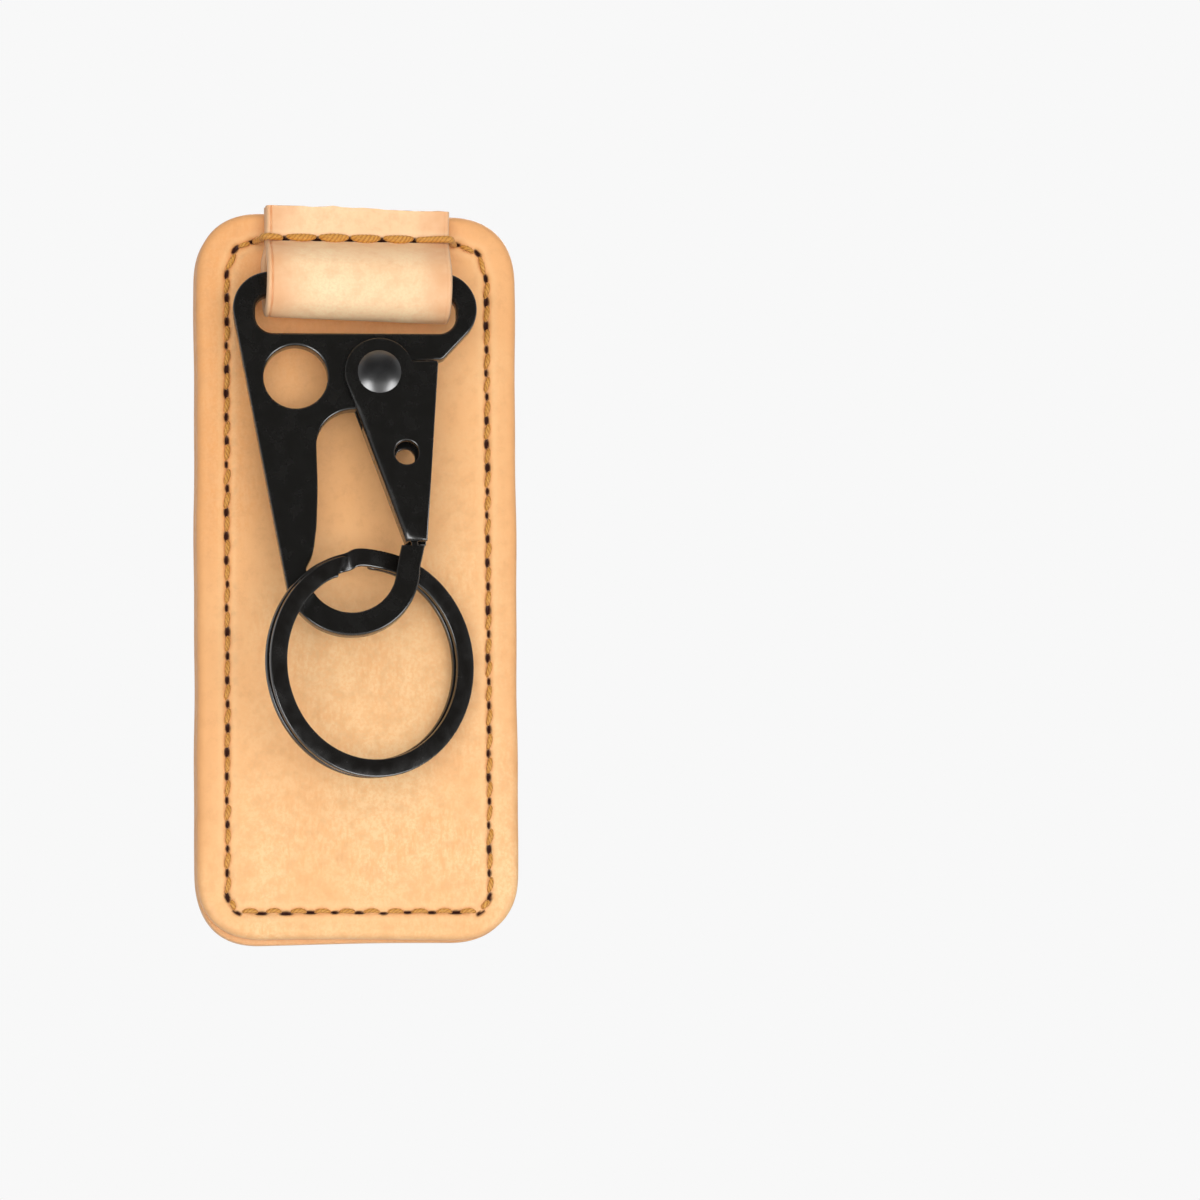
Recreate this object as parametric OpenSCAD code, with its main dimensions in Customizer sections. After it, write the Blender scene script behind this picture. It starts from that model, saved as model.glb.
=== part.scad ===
// Leather key holder with a spring belt clip, a snap hook and a split ring.
// Millimetres. X to the right, Z up, front face towards -Y.
// The origin is where a belt's top edge seats, under the belt clip's top bend.

/* [Leather pad] */
// Width of the pad
pad_w = 43; // [38:0.5:60]
// Height of the pad
pad_h = 97.5; // [92:0.5:130]
// Thickness of each of the two leather panels
panel_t = 3.3; // [2.6:0.1:4.5]
// Radius of the two top corners
top_corner_r = 7.5; // [4:0.5:10]
// Radius of the two bottom corners
bottom_corner_r = 7; // [4:0.5:10]
// Rounding of the burnished outer edges
edge_r = 1.4; // [0.5:0.1:2]

/* [Stitching] */
// Distance of the seam from the sides and the bottom
seam_inset = 4; // [3.5:0.1:5]
// Distance of the top row from the top edge
top_row_drop = 3.9; // [3.5:0.1:5]
// Stitch length along the sides and the bottom
stitch_pitch = 3.25; // [2.5:0.05:5]
// Stitch length along the top row
top_pitch = 4.35; // [3:0.05:6]
// Thread diameter
thread_d = 0.6; // [0.4:0.05:0.8]
// Width across the mouth of a needle hole
hole_mouth_d = 1.7; // [1.4:0.1:2]
// Bore of a needle hole
hole_d = 0.9; // [0.7:0.05:1.2]

/* [Strap loop] */
// Width of the strap
strap_w = 24.7; // [20:0.1:25]
// Thickness of the strap leather
strap_t = 1.6; // [1.2:0.1:1.8]
// How far the strap ends stand above the pad
strap_rise = 0.6; // [0:0.1:3]
// Sideways offset of the strap
strap_shift = -0.25; // [-1:0.05:1]
// Clear bore of the loop round the hook's crossbar
loop_bore_d = 6; // [5.8:0.1:7]
// Drop from the top stitch row to the crossbar
loop_drop = 6.5; // [5.6:0.05:8]

/* [Hook frame] */
// Thickness of the hook's plate
plate_t = 2.3; // [2:0.1:2.6]
// Height of the crossbar in the loop
crossbar_h = 3.2; // [2.8:0.1:3.4]
// Slot's left end, left of the middle of the crossbar
slot_left = 14.2; // [13.8:0.1:15]
// Slot's right end, right of the middle of the crossbar
slot_right = 12.9; // [12.7:0.1:13.2]
// Height of the slot
slot_h = 5.15; // [4.8:0.05:6]
// Radius of the hook's two shoulders
shoulder_r = 4.95; // [4.5:0.05:5.3]
// Diameter of the round lanyard hole
lanyard_d = 8.8; // [6:0.1:9]
// Inner radius of the hook's eye
eye_r = 5.95; // [5:0.05:6.2]
// Drop from the crossbar to the centre of the eye
eye_drop = 38.4; // [37.5:0.1:40]
// Width of the bar round the eye
bar_w = 3.1; // [2.4:0.1:3.6]
// How far the hook leans out from the pad, in degrees
hook_lean = 4.5; // [3.5:0.1:6]
// How far the hook's right side stands out, in degrees
hook_yaw = 4; // [3:0.1:4.5]

/* [Gate lever] */
// Sheet thickness of the folded gate
gate_sheet = 0.9; // [0.6:0.05:1.2]
// Room between the plate and each side of the gate
gate_room = 0.2; // [0.15:0.05:0.4]
// Radius of the gate's round head
gate_head_r = 4.6; // [4.3:0.1:5]
// Diameter of the small cord hole in the gate
cord_hole_d = 3.2; // [2:0.1:4]
// Diameter of the rivet's shank
rivet_d = 3.6; // [3:0.1:4]
// Diameter of the rivet's domed head
rivet_head_d = 5.7; // [5:0.1:7]
// Height of the rivet's domed head
rivet_head_h = 1.25; // [0.8:0.05:2]
// Wire of the gate spring
spring_wire_d = 0.35; // [0.25:0.05:0.4]

/* [Split ring] */
// Outside diameter of the split ring
ring_od = 30; // [28.5:0.5:32]
// Width of the flat ring wire
ring_wire_w = 2.4; // [2:0.1:2.6]
// Thickness of the flat ring wire
ring_wire_t = 0.85; // [0.6:0.05:0.9]
// Gap between the ring's two turns
ring_turn_gap = 0.42; // [0.41:0.01:0.6]
// Turn of the ring's plane out of the pad's plane, in degrees
ring_tilt = 20; // [19:0.5:24]

/* [Belt clip] */
// Width of the belt clip
clip_w = 22.5; // [16:0.5:30]
// Length from the top bend to the flared lip
clip_l = 56.5; // [52:0.5:75]
// Sheet thickness of the belt clip
clip_t = 1; // [0.8:0.1:1.3]
// Drop from the pad's top edge to the clip's top bend
clip_drop = 6.25; // [5:0.25:12]
// Gap between the pad and the clip's leaf, for the belt
belt_gap = 4.6; // [4.3:0.1:8]
// Sideways offset of the clip
clip_shift = -1.15; // [-3:0.05:3]
// Length of the clip's leg between the panels
clip_leg_l = 25; // [15:1:40]

/* [Hidden] */
overrun = 2;
fit_gap = 0.02;
round_fn = 96;
small_fn = 32;
arc_steps = 24;

// Pad and seam
pad_back = 2 * panel_t;
seam_x = pad_w / 2 - seam_inset;
seam_top = pad_h - top_row_drop;
thread_sink_share = 0.05;
groove_share = 1.6;
mouth_depth_share = 2;
dip_share = 1.2;
side_drop_share = 1.15;
corner_drop_share = 0.28;
corner_in_share = 0.3;
bottom_rise_share = 0.5;
bottom_in_share = 0.32;
rise_share = 0.44;
edge_clear_share = 0.75;
foot_share = 0.9;
row_margin = 2.5;
row_shift = 1.1;
edge_hole_out = 1.35;
thread_y = thread_sink_share * thread_d;
groove_depth = thread_d / 2 + thread_y + fit_gap;
groove_w = groove_share * thread_d;
mouth_depth = mouth_depth_share * thread_d;
dip = dip_share * thread_d;

// Strap
strap_cx = strap_shift;
strap_left = strap_cx - strap_w / 2;
strap_right = strap_cx + strap_w / 2;
strap_front = -2 * strap_t;
strap_lift = 0.3;
flex_gap = 0.2;
neck_drop = 1.4;
neck_top = seam_top - neck_drop;
loop_r = loop_bore_d / 2;
loop_out_r = loop_r + strap_t;

// Crossbar's middle, which the hook swings about
bar_y = -strap_lift - loop_out_r;
bar_z = seam_top - loop_drop;

// Hook plate, in its own plane: x to the right, y up from the crossbar's middle
shoulder_in_left = 2;
shoulder_in_right = 2.6;
slot_corner_r = 2.4;
eye_shift = -1.7;
elbow_out = 0.3;
elbow_drop = 1.1;
nose_lean = 0.7;
nose_h = 3.1;
tongue_l = 2.6;
tongue_w = 0.9;
rivet_c = [2.15, -12.2];
lug_inset = 0.15;
lanyard_c = [-8.9, -12.7];
throat_c = [-1.3, -22];
throat_r = 4.9;
rim_cut = 0.3;
beak_tip = [10.75, -10.1];
beak_blunt = [0.45, 0.2];
leg_shares = [[1, 0.9], [0.62, 0.83], [0.45, 0.68], [0.2, 0.32]];
shoulder_left = [-slot_left + shoulder_in_left, crossbar_h / 2 - shoulder_r];
shoulder_right = [slot_right - shoulder_in_right, crossbar_h / 2 - shoulder_r];
slot_bottom = -crossbar_h / 2 - slot_h;
eye_c = [eye_shift, -eye_drop];
eye_out_r = eye_r + bar_w;
lug_r = gate_head_r - lug_inset;
elbow = eye_c - [eye_out_r + elbow_out, elbow_drop];
nose_left = eye_c + [eye_r + nose_lean, nose_h];
nose_right = eye_c + [eye_out_r + nose_lean, nose_h];

// Gate, in the same plane
tip_in = 0.55;
tip_gap = 0.4;
tip_w = 2.8;
tongue_gap = 0.12;
beak_gap = 0.35;
beak_setback = 0.8;
gate_chamfer = [0.2, 0.35];
gate_gap = 0.06;
web_top = -19.5;
cord_hole_c = [5.66, -23.1];
rivet_tail_d = 5.2;
rivet_tail_h = 0.7;
rivet_slack = 0.05;
gate_in = plate_t / 2 + gate_room;
gate_out = gate_in + gate_sheet;
gate_tip = nose_left + [tip_in, tip_gap];
gate_top = beak_tip[1] - beak_blunt[1] - beak_gap;
gate_shoulder = [beak_tip[0] - beak_setback, gate_top - gate_chamfer[1]];

// Gate spring
spring_room = 0.65;
well_room = 0.4;
spring_well_floor = -0.5;
spring_pitch = 0.8;
spring_turns = 1.5;
spring_steps = 24;
spring_leg = 8.1;
spring_trench = 1.15;
spring_eye_d = 0.8;
short_leg_share = 0.4;
spring_ref = [0.3, 0.9, 0.31];
spring_r = rivet_d / 2 + spring_room;
spring_well_r = spring_r + spring_wire_d / 2 + well_room;

// Split ring
ring_r = (ring_od - ring_wire_w) / 2;
ring_rise = ring_wire_t + ring_turn_gap;
ring_hang = [2.566, 0.667, 0.082];
ring_jog = 22;
ring_end_gap = 6;
ring_steps = 72;

// Belt clip, as a profile in the YZ plane
bend_r = (belt_gap - clip_t) / 2;
bend_y = pad_back + clip_t + bend_r;
bend_z = pad_h - clip_drop - bend_r - clip_t;
leg_y = pad_back + clip_t / 2;
leaf_y = pad_back + belt_gap + clip_t / 2;
slit_drop = 5.2;
step_drop = 42.5;
heel_drop = 46.1;
heel_gap = 0.3;
heel_ease = 0.2;
lip_rise = 2.4;
lip_corner_r = 3.2;
slit_room = 0.15;
leaf_bend_r = 2.5;
leaf_bend_steps = 5;
origin = [clip_shift, bend_y, bend_z + bend_r];

// Places every piece so that the belt seat is the origin
module at_belt_seat() {
    translate(-origin) children();
}

// Lays an XY drawing on the XZ plane, with its thickness from front to back
module upright(front, back) {
    translate([0, back, 0]) rotate([90, 0, 0]) linear_extrude(back - front) children();
}

// Carries the hook's own frame to its place in the strap loop
module at_crossbar() {
    translate([0, bar_y, bar_z]) rotate([0, 0, -hook_yaw]) rotate([-hook_lean, 0, 0])
        children();
}

// A tube along the y axis of the hook's frame, at a point of its plane
module across(c, d, front, back) {
    translate([c[0], front, c[1]]) rotate([-90, 0, 0])
        cylinder(d = d, h = back - front, $fn = round_fn);
}

function unit(v) = v / norm(v);

// Place, in the pad's frame, of a point of the hook's plane
function hook_place(c) = let (y = c[1] * sin(hook_lean))
    [c[0] * cos(hook_yaw) + y * sin(hook_yaw), bar_y - c[0] * sin(hook_yaw) + y * cos(hook_yaw),
        bar_z + c[1] * cos(hook_lean)];

// Points on a straight run from a to b, without b
function run(a, b, count) = [for (i = [0 : count - 1]) a + (b - a) * i / count];

// Points of an arc
function arc(c, r, from, to, count) =
    [for (i = [0 : count]) let (a = from + (to - from) * i / count)
        c + r * [cos(a), sin(a)]];

// Direction, from the centre c, of the point where a line from p touches the circle
function touch_angle(c, r, p, side) =
    atan2(p[1] - c[1], p[0] - c[0]) + side * acos(r / norm(p - c));

// Point of the line through p along d at the height y
function at_height(p, d, y) = p + d * (y - p[1]) / d[1];

// Left-hand normal of the segment that leaves point i
function left_of(p, i) = let (d = unit(p[i + 1] - p[i])) [-d[1], d[0]];

// Offset of point i of an open path, mitred
function mitre(p, i, off) =
    let (n0 = left_of(p, max(i - 1, 0)), n1 = left_of(p, min(i, len(p) - 2)))
        p[i] + off * (n0 + n1) / (1 + n0 * n1);

// Outline of a sheet of thickness t along an open path
function sheet(p, t) = concat(
    [for (i = [0 : len(p) - 1]) mitre(p, i, t / 2)],
    [for (i = [len(p) - 1 : -1 : 0]) mitre(p, i, -t / 2)]);

// An open path with its inner corners turned into short arcs
function eased(p, r, count) = concat([p[0]],
    [for (i = [1 : len(p) - 2])
        let (a = unit(p[i - 1] - p[i]), b = unit(p[i + 1] - p[i]),
             half = acos(a * b) / 2, cut = r / tan(half))
            for (k = [0 : count])
                let (s = k / count, q0 = p[i] + a * cut, q1 = p[i] + b * cut)
                    q0 * (1 - s) * (1 - s) + p[i] * 2 * s * (1 - s) + q1 * s * s],
    [p[len(p) - 1]]);

// A round tube along a path, with a reference direction that no stretch follows
function tube_points(p, r, sides, ref) = [for (i = [0 : len(p) - 1])
    let (t = unit(p[min(i + 1, len(p) - 1)] - p[max(i - 1, 0)]),
         u = unit(cross(t, ref)), v = cross(t, u))
        for (k = [0 : sides - 1])
            p[i] + r * (u * cos(360 * k / sides) + v * sin(360 * k / sides))];

// Faces of a lofted body with the same number of points in every ring
function loft_faces(rings, sides) = concat(
    [[for (k = [0 : sides - 1]) k]],
    [for (i = [0 : rings - 2], k = [0 : sides - 1])
        let (a = i * sides + k, b = i * sides + (k + 1) % sides)
            each [[a, a + sides, b], [b, a + sides, b + sides]]],
    [[for (k = [sides - 1 : -1 : 0]) (rings - 1) * sides + k]]);

module tube(p, r, sides, ref) {
    polyhedron(tube_points(p, r, sides, ref), loft_faces(len(p), sides));
}

// Pad outline, drawn with an inset
module pad_outline(inset) {
    top_r = top_corner_r - inset;
    low_r = bottom_corner_r - inset;
    half = pad_w / 2 - inset;
    difference() {
        translate([-half, inset]) square([2 * half, pad_h - 2 * inset]);
        for (s = [-1, 1]) {
            corner_cut([s * half, pad_h - inset], top_r, [s, 1]);
            corner_cut([s * half, inset], low_r, [s, -1]);
        }
    }
}

// What a rounded corner leaves out of a square one
module corner_cut(corner, r, way) {
    c = corner - [way[0] * r, way[1] * r];
    difference() {
        translate([min(c[0], corner[0] + way[0] * overrun), min(c[1], corner[1] + way[1] * overrun)])
            square([r + overrun, r + overrun]);
        translate(c) circle(r = r, $fn = round_fn);
    }
}

// One leather panel with a burnished edge on the side that faces away from the seam
module panel_blank() {
    half = pad_w / 2 - edge_r;
    upright(edge_r, panel_t) pad_outline(0);
    upright(0, panel_t) pad_outline(edge_r);
    for (s = [-1, 1]) {
        translate([s * half, edge_r, bottom_corner_r])
            cylinder(r = edge_r, h = pad_h - top_corner_r - bottom_corner_r, $fn = small_fn);
        corner_roll([s * (pad_w / 2 - top_corner_r), pad_h - top_corner_r], top_corner_r,
            s > 0 ? 0 : 90);
        corner_roll([s * (pad_w / 2 - bottom_corner_r), bottom_corner_r], bottom_corner_r,
            s > 0 ? 270 : 180);
    }
    edge_bar(pad_h - edge_r, pad_w / 2 - top_corner_r);
    edge_bar(edge_r, pad_w / 2 - bottom_corner_r);
}

// Rounded edge along the top or the bottom
module edge_bar(z, half) {
    translate([-half, edge_r, z]) rotate([0, 90, 0])
        cylinder(r = edge_r, h = 2 * half, $fn = small_fn);
}

// Rounded edge round a corner
module corner_roll(c, r, from) {
    translate([c[0], edge_r, c[1]]) rotate([90, 0, 0]) rotate([0, 0, from])
        rotate_extrude(angle = 90, $fn = round_fn)
            translate([r - edge_r, 0]) circle(r = edge_r, $fn = small_fn);
}

// Needle holes, in order round the pad, from the top left corner down
side_top = seam_top - side_drop_share * top_row_drop;
side_low = seam_inset + bottom_rise_share * seam_inset;
side_count = round((side_top - side_low) / stitch_pitch);
bottom_half = seam_x - bottom_in_share * seam_inset;
bottom_count = round(2 * bottom_half / stitch_pitch);
strap_stitches = floor((strap_w - 2 * row_margin) / top_pitch);
row_cx = strap_cx - row_shift;
row_half = strap_stitches * top_pitch / 2;
corner_hole = [seam_x - corner_in_share * top_row_drop, seam_top - corner_drop_share * top_row_drop];
seam = concat(
    run([-seam_x, side_top], [-seam_x, side_low], side_count),
    [[-seam_x, side_low]],
    run([-bottom_half, seam_inset], [bottom_half, seam_inset], bottom_count),
    [[bottom_half, seam_inset]],
    run([seam_x, side_low], [seam_x, side_top], side_count),
    [[seam_x, side_top], corner_hole, [strap_right + edge_hole_out, seam_top]],
    run([row_cx + row_half, seam_top], [row_cx - row_half, seam_top], strap_stitches),
    [[row_cx - row_half, seam_top], [strap_left - edge_hole_out, seam_top],
        [-corner_hole[0], corner_hole[1]]]);
holes = len(seam);

function on_strap(p) = p[1] > side_top && p[0] > strap_left && p[0] < strap_right;
function seam_face(p) = on_strap(p) ? strap_front : 0;
function steps_up(a, b) = !on_strap(a) && on_strap(b);

// Thread path on the front: down into each hole, and up over the strap's sides
function ease_point(a, b) = a + unit(b - a) * hole_mouth_d * rise_share;
function at_depth(p, y) = [p[0], y, p[1]];
function over_edge(a, b) =
    let (ya = seam_face(a), yb = seam_face(b),
         side = a[0] + b[0] > 0 ? strap_right : strap_left,
         out = side + sign(a[0] + b[0]) * thread_d * edge_clear_share,
         rim = strap_front - thread_d * edge_clear_share,
         foot = [out, -thread_d * foot_share, seam_top], head = [out, rim, seam_top])
        ya == yb ? [] : (yb < ya ? [foot, head] : [head, foot]);
front_path = [for (i = [0 : holes])
    let (a = seam[i % holes], b = seam[(i + 1) % holes], z = seam[(i + holes - 1) % holes])
        each concat(
            i == 0 || steps_up(a, z) ? [] : [at_depth(ease_point(a, z), seam_face(a) + thread_y)],
            i == holes ? [] : [at_depth(a, seam_face(a) + dip)],
            i == holes || steps_up(a, b) ? [] : [at_depth(ease_point(a, b), seam_face(a) + thread_y)],
            i == holes ? [] : over_edge(a, b))];
back_path = [for (i = [0 : holes])
    let (a = seam[i % holes], b = seam[(i + 1) % holes], z = seam[(i + holes - 1) % holes])
        each concat(
            i == 0 ? [] : [at_depth(ease_point(a, z), pad_back - thread_y)],
            i == holes ? [] : [at_depth(a, pad_back - dip)],
            i == holes ? [] : [at_depth(ease_point(a, b), pad_back - thread_y)])];
thread_ref = [0.35, 0.85, 0.4];

module seam_holes(front, back) {
    for (p = seam) across(p, hole_d, front, back);
}

module seam_mouths(front, back) {
    for (p = seam) if (!on_strap(p)) across(p, hole_mouth_d, front, back);
}

// Groove that the thread lies in
module seam_groove(front, back) {
    n = holes;
    upright(front, back) for (i = [0 : n - 1])
        let (a = seam[i], b = seam[(i + 1) % n], d = unit(b - a), s = [-d[1], d[0]] * groove_w / 2)
            polygon([a + s, b + s, b - s, a - s]);
}

module front_panel() color([0.86, 0.66, 0.43]) at_belt_seat() {
    difference() {
        panel_blank();
        seam_groove(-overrun, groove_depth);
        seam_mouths(-overrun, mouth_depth);
        seam_holes(-overrun, pad_back);
    }
}

module back_panel() color([0.85, 0.64, 0.42]) at_belt_seat() {
    difference() {
        translate([0, pad_back, 0]) mirror([0, 1, 0]) panel_blank();
        seam_groove(pad_back - groove_depth, pad_back + overrun);
        for (p = seam) across(p, hole_mouth_d, pad_back - mouth_depth, pad_back + overrun);
        seam_holes(0, pad_back + overrun);
        clip_slot(clip_w + 2 * slit_room) polygon(sheet(leg_path, clip_t + 2 * slit_room));
    }
}

module top_thread() color([0.72, 0.45, 0.15]) at_belt_seat() {
    tube(front_path, thread_d / 2, 6, thread_ref);
}

module bobbin_thread() color([0.83, 0.72, 0.55]) at_belt_seat() {
    tube(back_path, thread_d / 2, 6, thread_ref);
}

// Strap: the sewn part
module strap_anchor() color([0.93, 0.77, 0.56]) at_belt_seat() {
    difference() {
        translate([strap_left, strap_front, neck_top + flex_gap])
            cube([strap_w, -strap_front, pad_h + strap_rise - neck_top - flex_gap]);
        for (p = seam) if (on_strap(p)) {
            across(p, hole_mouth_d, strap_front - overrun, strap_front + mouth_depth);
            across(p, hole_d, strap_front - overrun, overrun);
        }
        translate([strap_left - overrun, strap_front - overrun, seam_top - groove_w / 2])
            cube([strap_w + 2 * overrun, overrun + groove_depth, groove_w]);
    }
}

// Strap: the free loop below the seam, as a profile in the YZ plane
module loop_profile() {
    c = [bar_y, bar_z];
    neck = [strap_front - strap_lift, neck_top];
    n = arc_point(1, touch_angle(c, loop_out_r, neck, 1));
    inner = c + loop_r * n;
    back_in = c[0] + loop_r;
    apex = [back_in, inner[1] - (back_in - inner[0]) * n[0] / n[1]];
    difference() {
        union() {
            translate(c) circle(r = loop_out_r, $fn = round_fn);
            polygon([c, c + [loop_out_r, 0], [c[0] + loop_out_r, neck_top], neck, c + loop_out_r * n]);
        }
        translate(c) circle(r = loop_r, $fn = round_fn);
        polygon([c, c + [loop_r, 0], apex, inner]);
    }
}

module along_x(x, w) {
    translate([x, 0, 0]) rotate([90, 0, 90]) linear_extrude(w) children();
}

module strap_loop() color([0.95, 0.80, 0.60]) at_belt_seat() {
    along_x(strap_left, strap_w) loop_profile();
}

// Hook plate outline, from the left shoulder down the leg, round the eye and back up
module hook_outline() {
    leg_angle = touch_angle(shoulder_left, shoulder_r, elbow, -1) + 360;
    elbow_angle = touch_angle(eye_c, eye_out_r, elbow, 1) + 360;
    beak_angle = touch_angle(shoulder_right, shoulder_r, beak_tip, 1);
    floor_y = beak_tip[1] - beak_blunt[1];
    eye_left = eye_c - [eye_r, 0];
    leg_run = throat_c - [throat_r, 0] - eye_left;
    web = unit(gate_tip - gate_touch());
    web_face = gate_tip + [-web[1], web[0]] * (gate_sheet + tongue_gap);
    tongue_foot = at_height(web_face, web, nose_left[1]);
    tongue_head = at_height(web_face, web, nose_left[1] + tongue_l);
    polygon(concat(
        arc(shoulder_left, shoulder_r, 90, leg_angle, arc_steps),
        [elbow],
        arc(eye_c, eye_out_r, elbow_angle, 360, arc_steps),
        [nose_right, [tongue_foot[0] + tongue_w, nose_left[1]], [tongue_foot[0] + tongue_w, tongue_head[1]],
            tongue_head, tongue_foot, nose_left],
        arc(eye_c, eye_r, 360, 180, arc_steps),
        [for (s = leg_shares) eye_left + [(1 - s[0]) * leg_run[0], (1 - s[1]) * leg_run[1]]],
        arc(throat_c, throat_r, 180, 90, arc_steps),
        arc(rivet_c, lug_r, -90, asin((floor_y - rivet_c[1]) / lug_r), arc_steps),
        [[beak_tip[0] - beak_blunt[0], floor_y], beak_tip],
        arc(shoulder_right, shoulder_r, beak_angle, 90, arc_steps)));
}

function arc_point(r, a) = r * [cos(a), sin(a)];

// Slot that the strap loop passes through
module hook_slot() {
    w = slot_left + slot_right;
    top = -crossbar_h / 2;
    translate([-slot_left, slot_bottom + slot_corner_r]) square([w, top - slot_bottom - slot_corner_r]);
    translate([-slot_left + slot_corner_r, slot_bottom]) square([w - 2 * slot_corner_r, slot_corner_r]);
    for (x = [-slot_left + slot_corner_r, slot_right - slot_corner_r])
        translate([x, slot_bottom + slot_corner_r]) circle(r = slot_corner_r, $fn = small_fn);
}

module hook_frame() color([0.10, 0.10, 0.11]) at_belt_seat() at_crossbar() {
    half = plate_t / 2;
    difference() {
        upright(-half, half) difference() {
            hook_outline();
            hook_slot();
        }
        across(lanyard_c, lanyard_d, -half - overrun, half + overrun);
        rim_chamfer(lanyard_c, lanyard_d, -half);
        across(rivet_c, rivet_d, -half - overrun, half + overrun);
        spring_well();
    }
}

// Chamfer round a hole in the front face
module rim_chamfer(c, d, face) {
    translate([c[0], face - rim_cut, c[1]]) rotate([-90, 0, 0])
        cylinder(r1 = d / 2 + 2 * rim_cut, r2 = d / 2, h = 2 * rim_cut, $fn = round_fn);
}

// Well for the gate spring in the back of the plate, with room for its long leg
module spring_well() {
    across(rivet_c, 2 * spring_well_r, spring_well_floor, plate_t);
    translate([rivet_c[0], plate_t / 2 - spring_trench, rivet_c[1] - 2 * lug_r])
        cube([spring_well_r, plate_t, 2 * lug_r]);
}

// Where the gate's folded edge meets its round head
function gate_touch() = rivet_c + arc_point(gate_head_r, touch_angle(rivet_c, gate_head_r, gate_tip, -1));

// Gate side outline
module gate_outline() {
    from = asin((gate_top - rivet_c[1]) / gate_head_r);
    to = touch_angle(rivet_c, gate_head_r, gate_tip, -1) + 360;
    polygon(concat(
        arc(rivet_c, gate_head_r, from, to, 2 * arc_steps),
        [gate_tip, gate_tip + [tip_w, 0], gate_shoulder,
            gate_shoulder + [-gate_chamfer[0], gate_chamfer[1]]]));
}

// Room between the gate's two sides, which leaves a folded edge on the left
module gate_cavity() {
    d = unit(gate_tip - gate_touch());
    face = gate_tip + [-d[1], d[0]] * gate_sheet;
    low = gate_tip[1] - overrun;
    far = rivet_c + 2 * [gate_head_r, gate_head_r];
    polygon([at_height(face, d, web_top), at_height(face, d, low), [far[0], low], far,
        [gate_touch()[0] - overrun, far[1]], [gate_touch()[0] - overrun, web_top]]);
}

module gate_lever() color([0.11, 0.11, 0.12]) at_belt_seat() at_crossbar() {
    difference() {
        upright(-gate_out, gate_out) gate_outline();
        upright(-gate_in, gate_in) gate_cavity();
        across(rivet_c, rivet_d + 2 * gate_gap, -gate_out - overrun, gate_out + overrun);
        across(cord_hole_c, cord_hole_d, -gate_out - overrun, gate_out + overrun);
        rim_chamfer(cord_hole_c, cord_hole_d, -gate_out);
        across(rivet_c + [spring_r, -spring_leg], spring_eye_d, plate_t / 2, gate_out + overrun);
    }
}

// Rivet with a domed head in front and a flat one behind
module gate_rivet() color([0.08, 0.08, 0.09]) at_belt_seat() at_crossbar() {
    head_r = rivet_head_d / 2;
    dome_r = (head_r * head_r + rivet_head_h * rivet_head_h) / (2 * rivet_head_h);
    face = gate_out + rivet_slack;
    translate([rivet_c[0], 0, rivet_c[1]]) rotate([90, 0, 0]) rotate_extrude($fn = round_fn) {
        translate([0, -face]) square([rivet_d / 2, 2 * face]);
        translate([0, -face - rivet_tail_h]) square([rivet_tail_d / 2, rivet_tail_h]);
        intersection() {
            translate([0, face + rivet_head_h - dome_r]) circle(r = dome_r, $fn = round_fn);
            translate([0, face]) square([head_r, rivet_head_h]);
        }
    }
}

// Torsion spring round the rivet: short leg in the plate's well, long leg in the gate
module gate_spring() color([0.55, 0.55, 0.57]) at_belt_seat() at_crossbar() {
    coil = [for (i = [0 : spring_steps * spring_turns])
        let (a = 180 + 360 * i / spring_steps)
            [rivet_c[0] + spring_r * cos(a),
             spring_well_floor + spring_wire_d + spring_pitch * i / spring_steps,
             rivet_c[1] + spring_r * sin(a)]];
    last = coil[len(coil) - 1];
    gaps = [for (i = [spring_steps : len(coil) - 1]) norm(coil[i] - coil[i - spring_steps]) - spring_wire_d];
    foot = last - [0, 0, spring_leg];
    path = concat([coil[0] + [0, 0, spring_r * short_leg_share]], coil,
        [foot + [0, 0, spring_wire_d], foot + [0, spring_wire_d, 0], foot + [0, gate_out - last[1], 0]]);
    echo(str("least gap between the spring's turns: ", min(gaps), " mm"));
    tube(path, spring_wire_d / 2, 6, spring_ref);
}

// Split ring: two flat turns of wire, which change layer in a short jog
ring_c = hook_place(eye_c) + ring_hang - [0, 0, ring_od / 2 - ring_wire_w];
function ring_layer(a) =
    let (s = min(max((a - 360 + ring_jog) / ring_jog, 0), 1)) s * s * (3 - 2 * s);
ring_sweep = 720 - ring_jog - 2 * ring_end_gap;
ring_points = [for (i = [0 : 2 * ring_steps])
    let (a = ring_sweep * i / (2 * ring_steps), y = ring_rise * (ring_layer(a) - 0.5))
        for (c = [[-1, -1], [1, -1], [1, 1], [-1, 1]])
            let (r = ring_r + c[0] * ring_wire_w / 2)
                [r * cos(a), y + c[1] * ring_wire_t / 2, r * sin(a)]];

module split_ring() color([0.09, 0.09, 0.10]) at_belt_seat() {
    gaps = [for (a = [0 : ring_end_gap : ring_sweep - 360])
        ring_rise * (ring_layer(a + 360) - ring_layer(a)) - ring_wire_t];
    echo(str("least gap between the ring's turns: ", min(gaps), " mm"));
    translate(ring_c) rotate([0, 0, ring_tilt]) rotate([0, -90, 0])
        polyhedron(ring_points, loft_faces(2 * ring_steps + 1, 4));
}

// Centre line of the clip's leg, from the bend down through the slit
clip_top = pad_h - clip_drop;
inner_y = panel_t + clip_t / 2;
leg_path = [[leg_y, bend_z], [leg_y, clip_top - slit_drop],
    [inner_y, clip_top - slit_drop - (leg_y - inner_y)], [inner_y, clip_top - slit_drop - clip_leg_l]];

// Centre line of the leaf, from the bend down to the lip
leaf_path = [[leaf_y, bend_z - flex_gap], [leaf_y, clip_top - step_drop],
    [pad_back + heel_gap + clip_t / 2 - heel_ease, clip_top - heel_drop],
    [pad_back + heel_gap + clip_t / 2 + lip_rise, clip_top - clip_l]];

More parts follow.
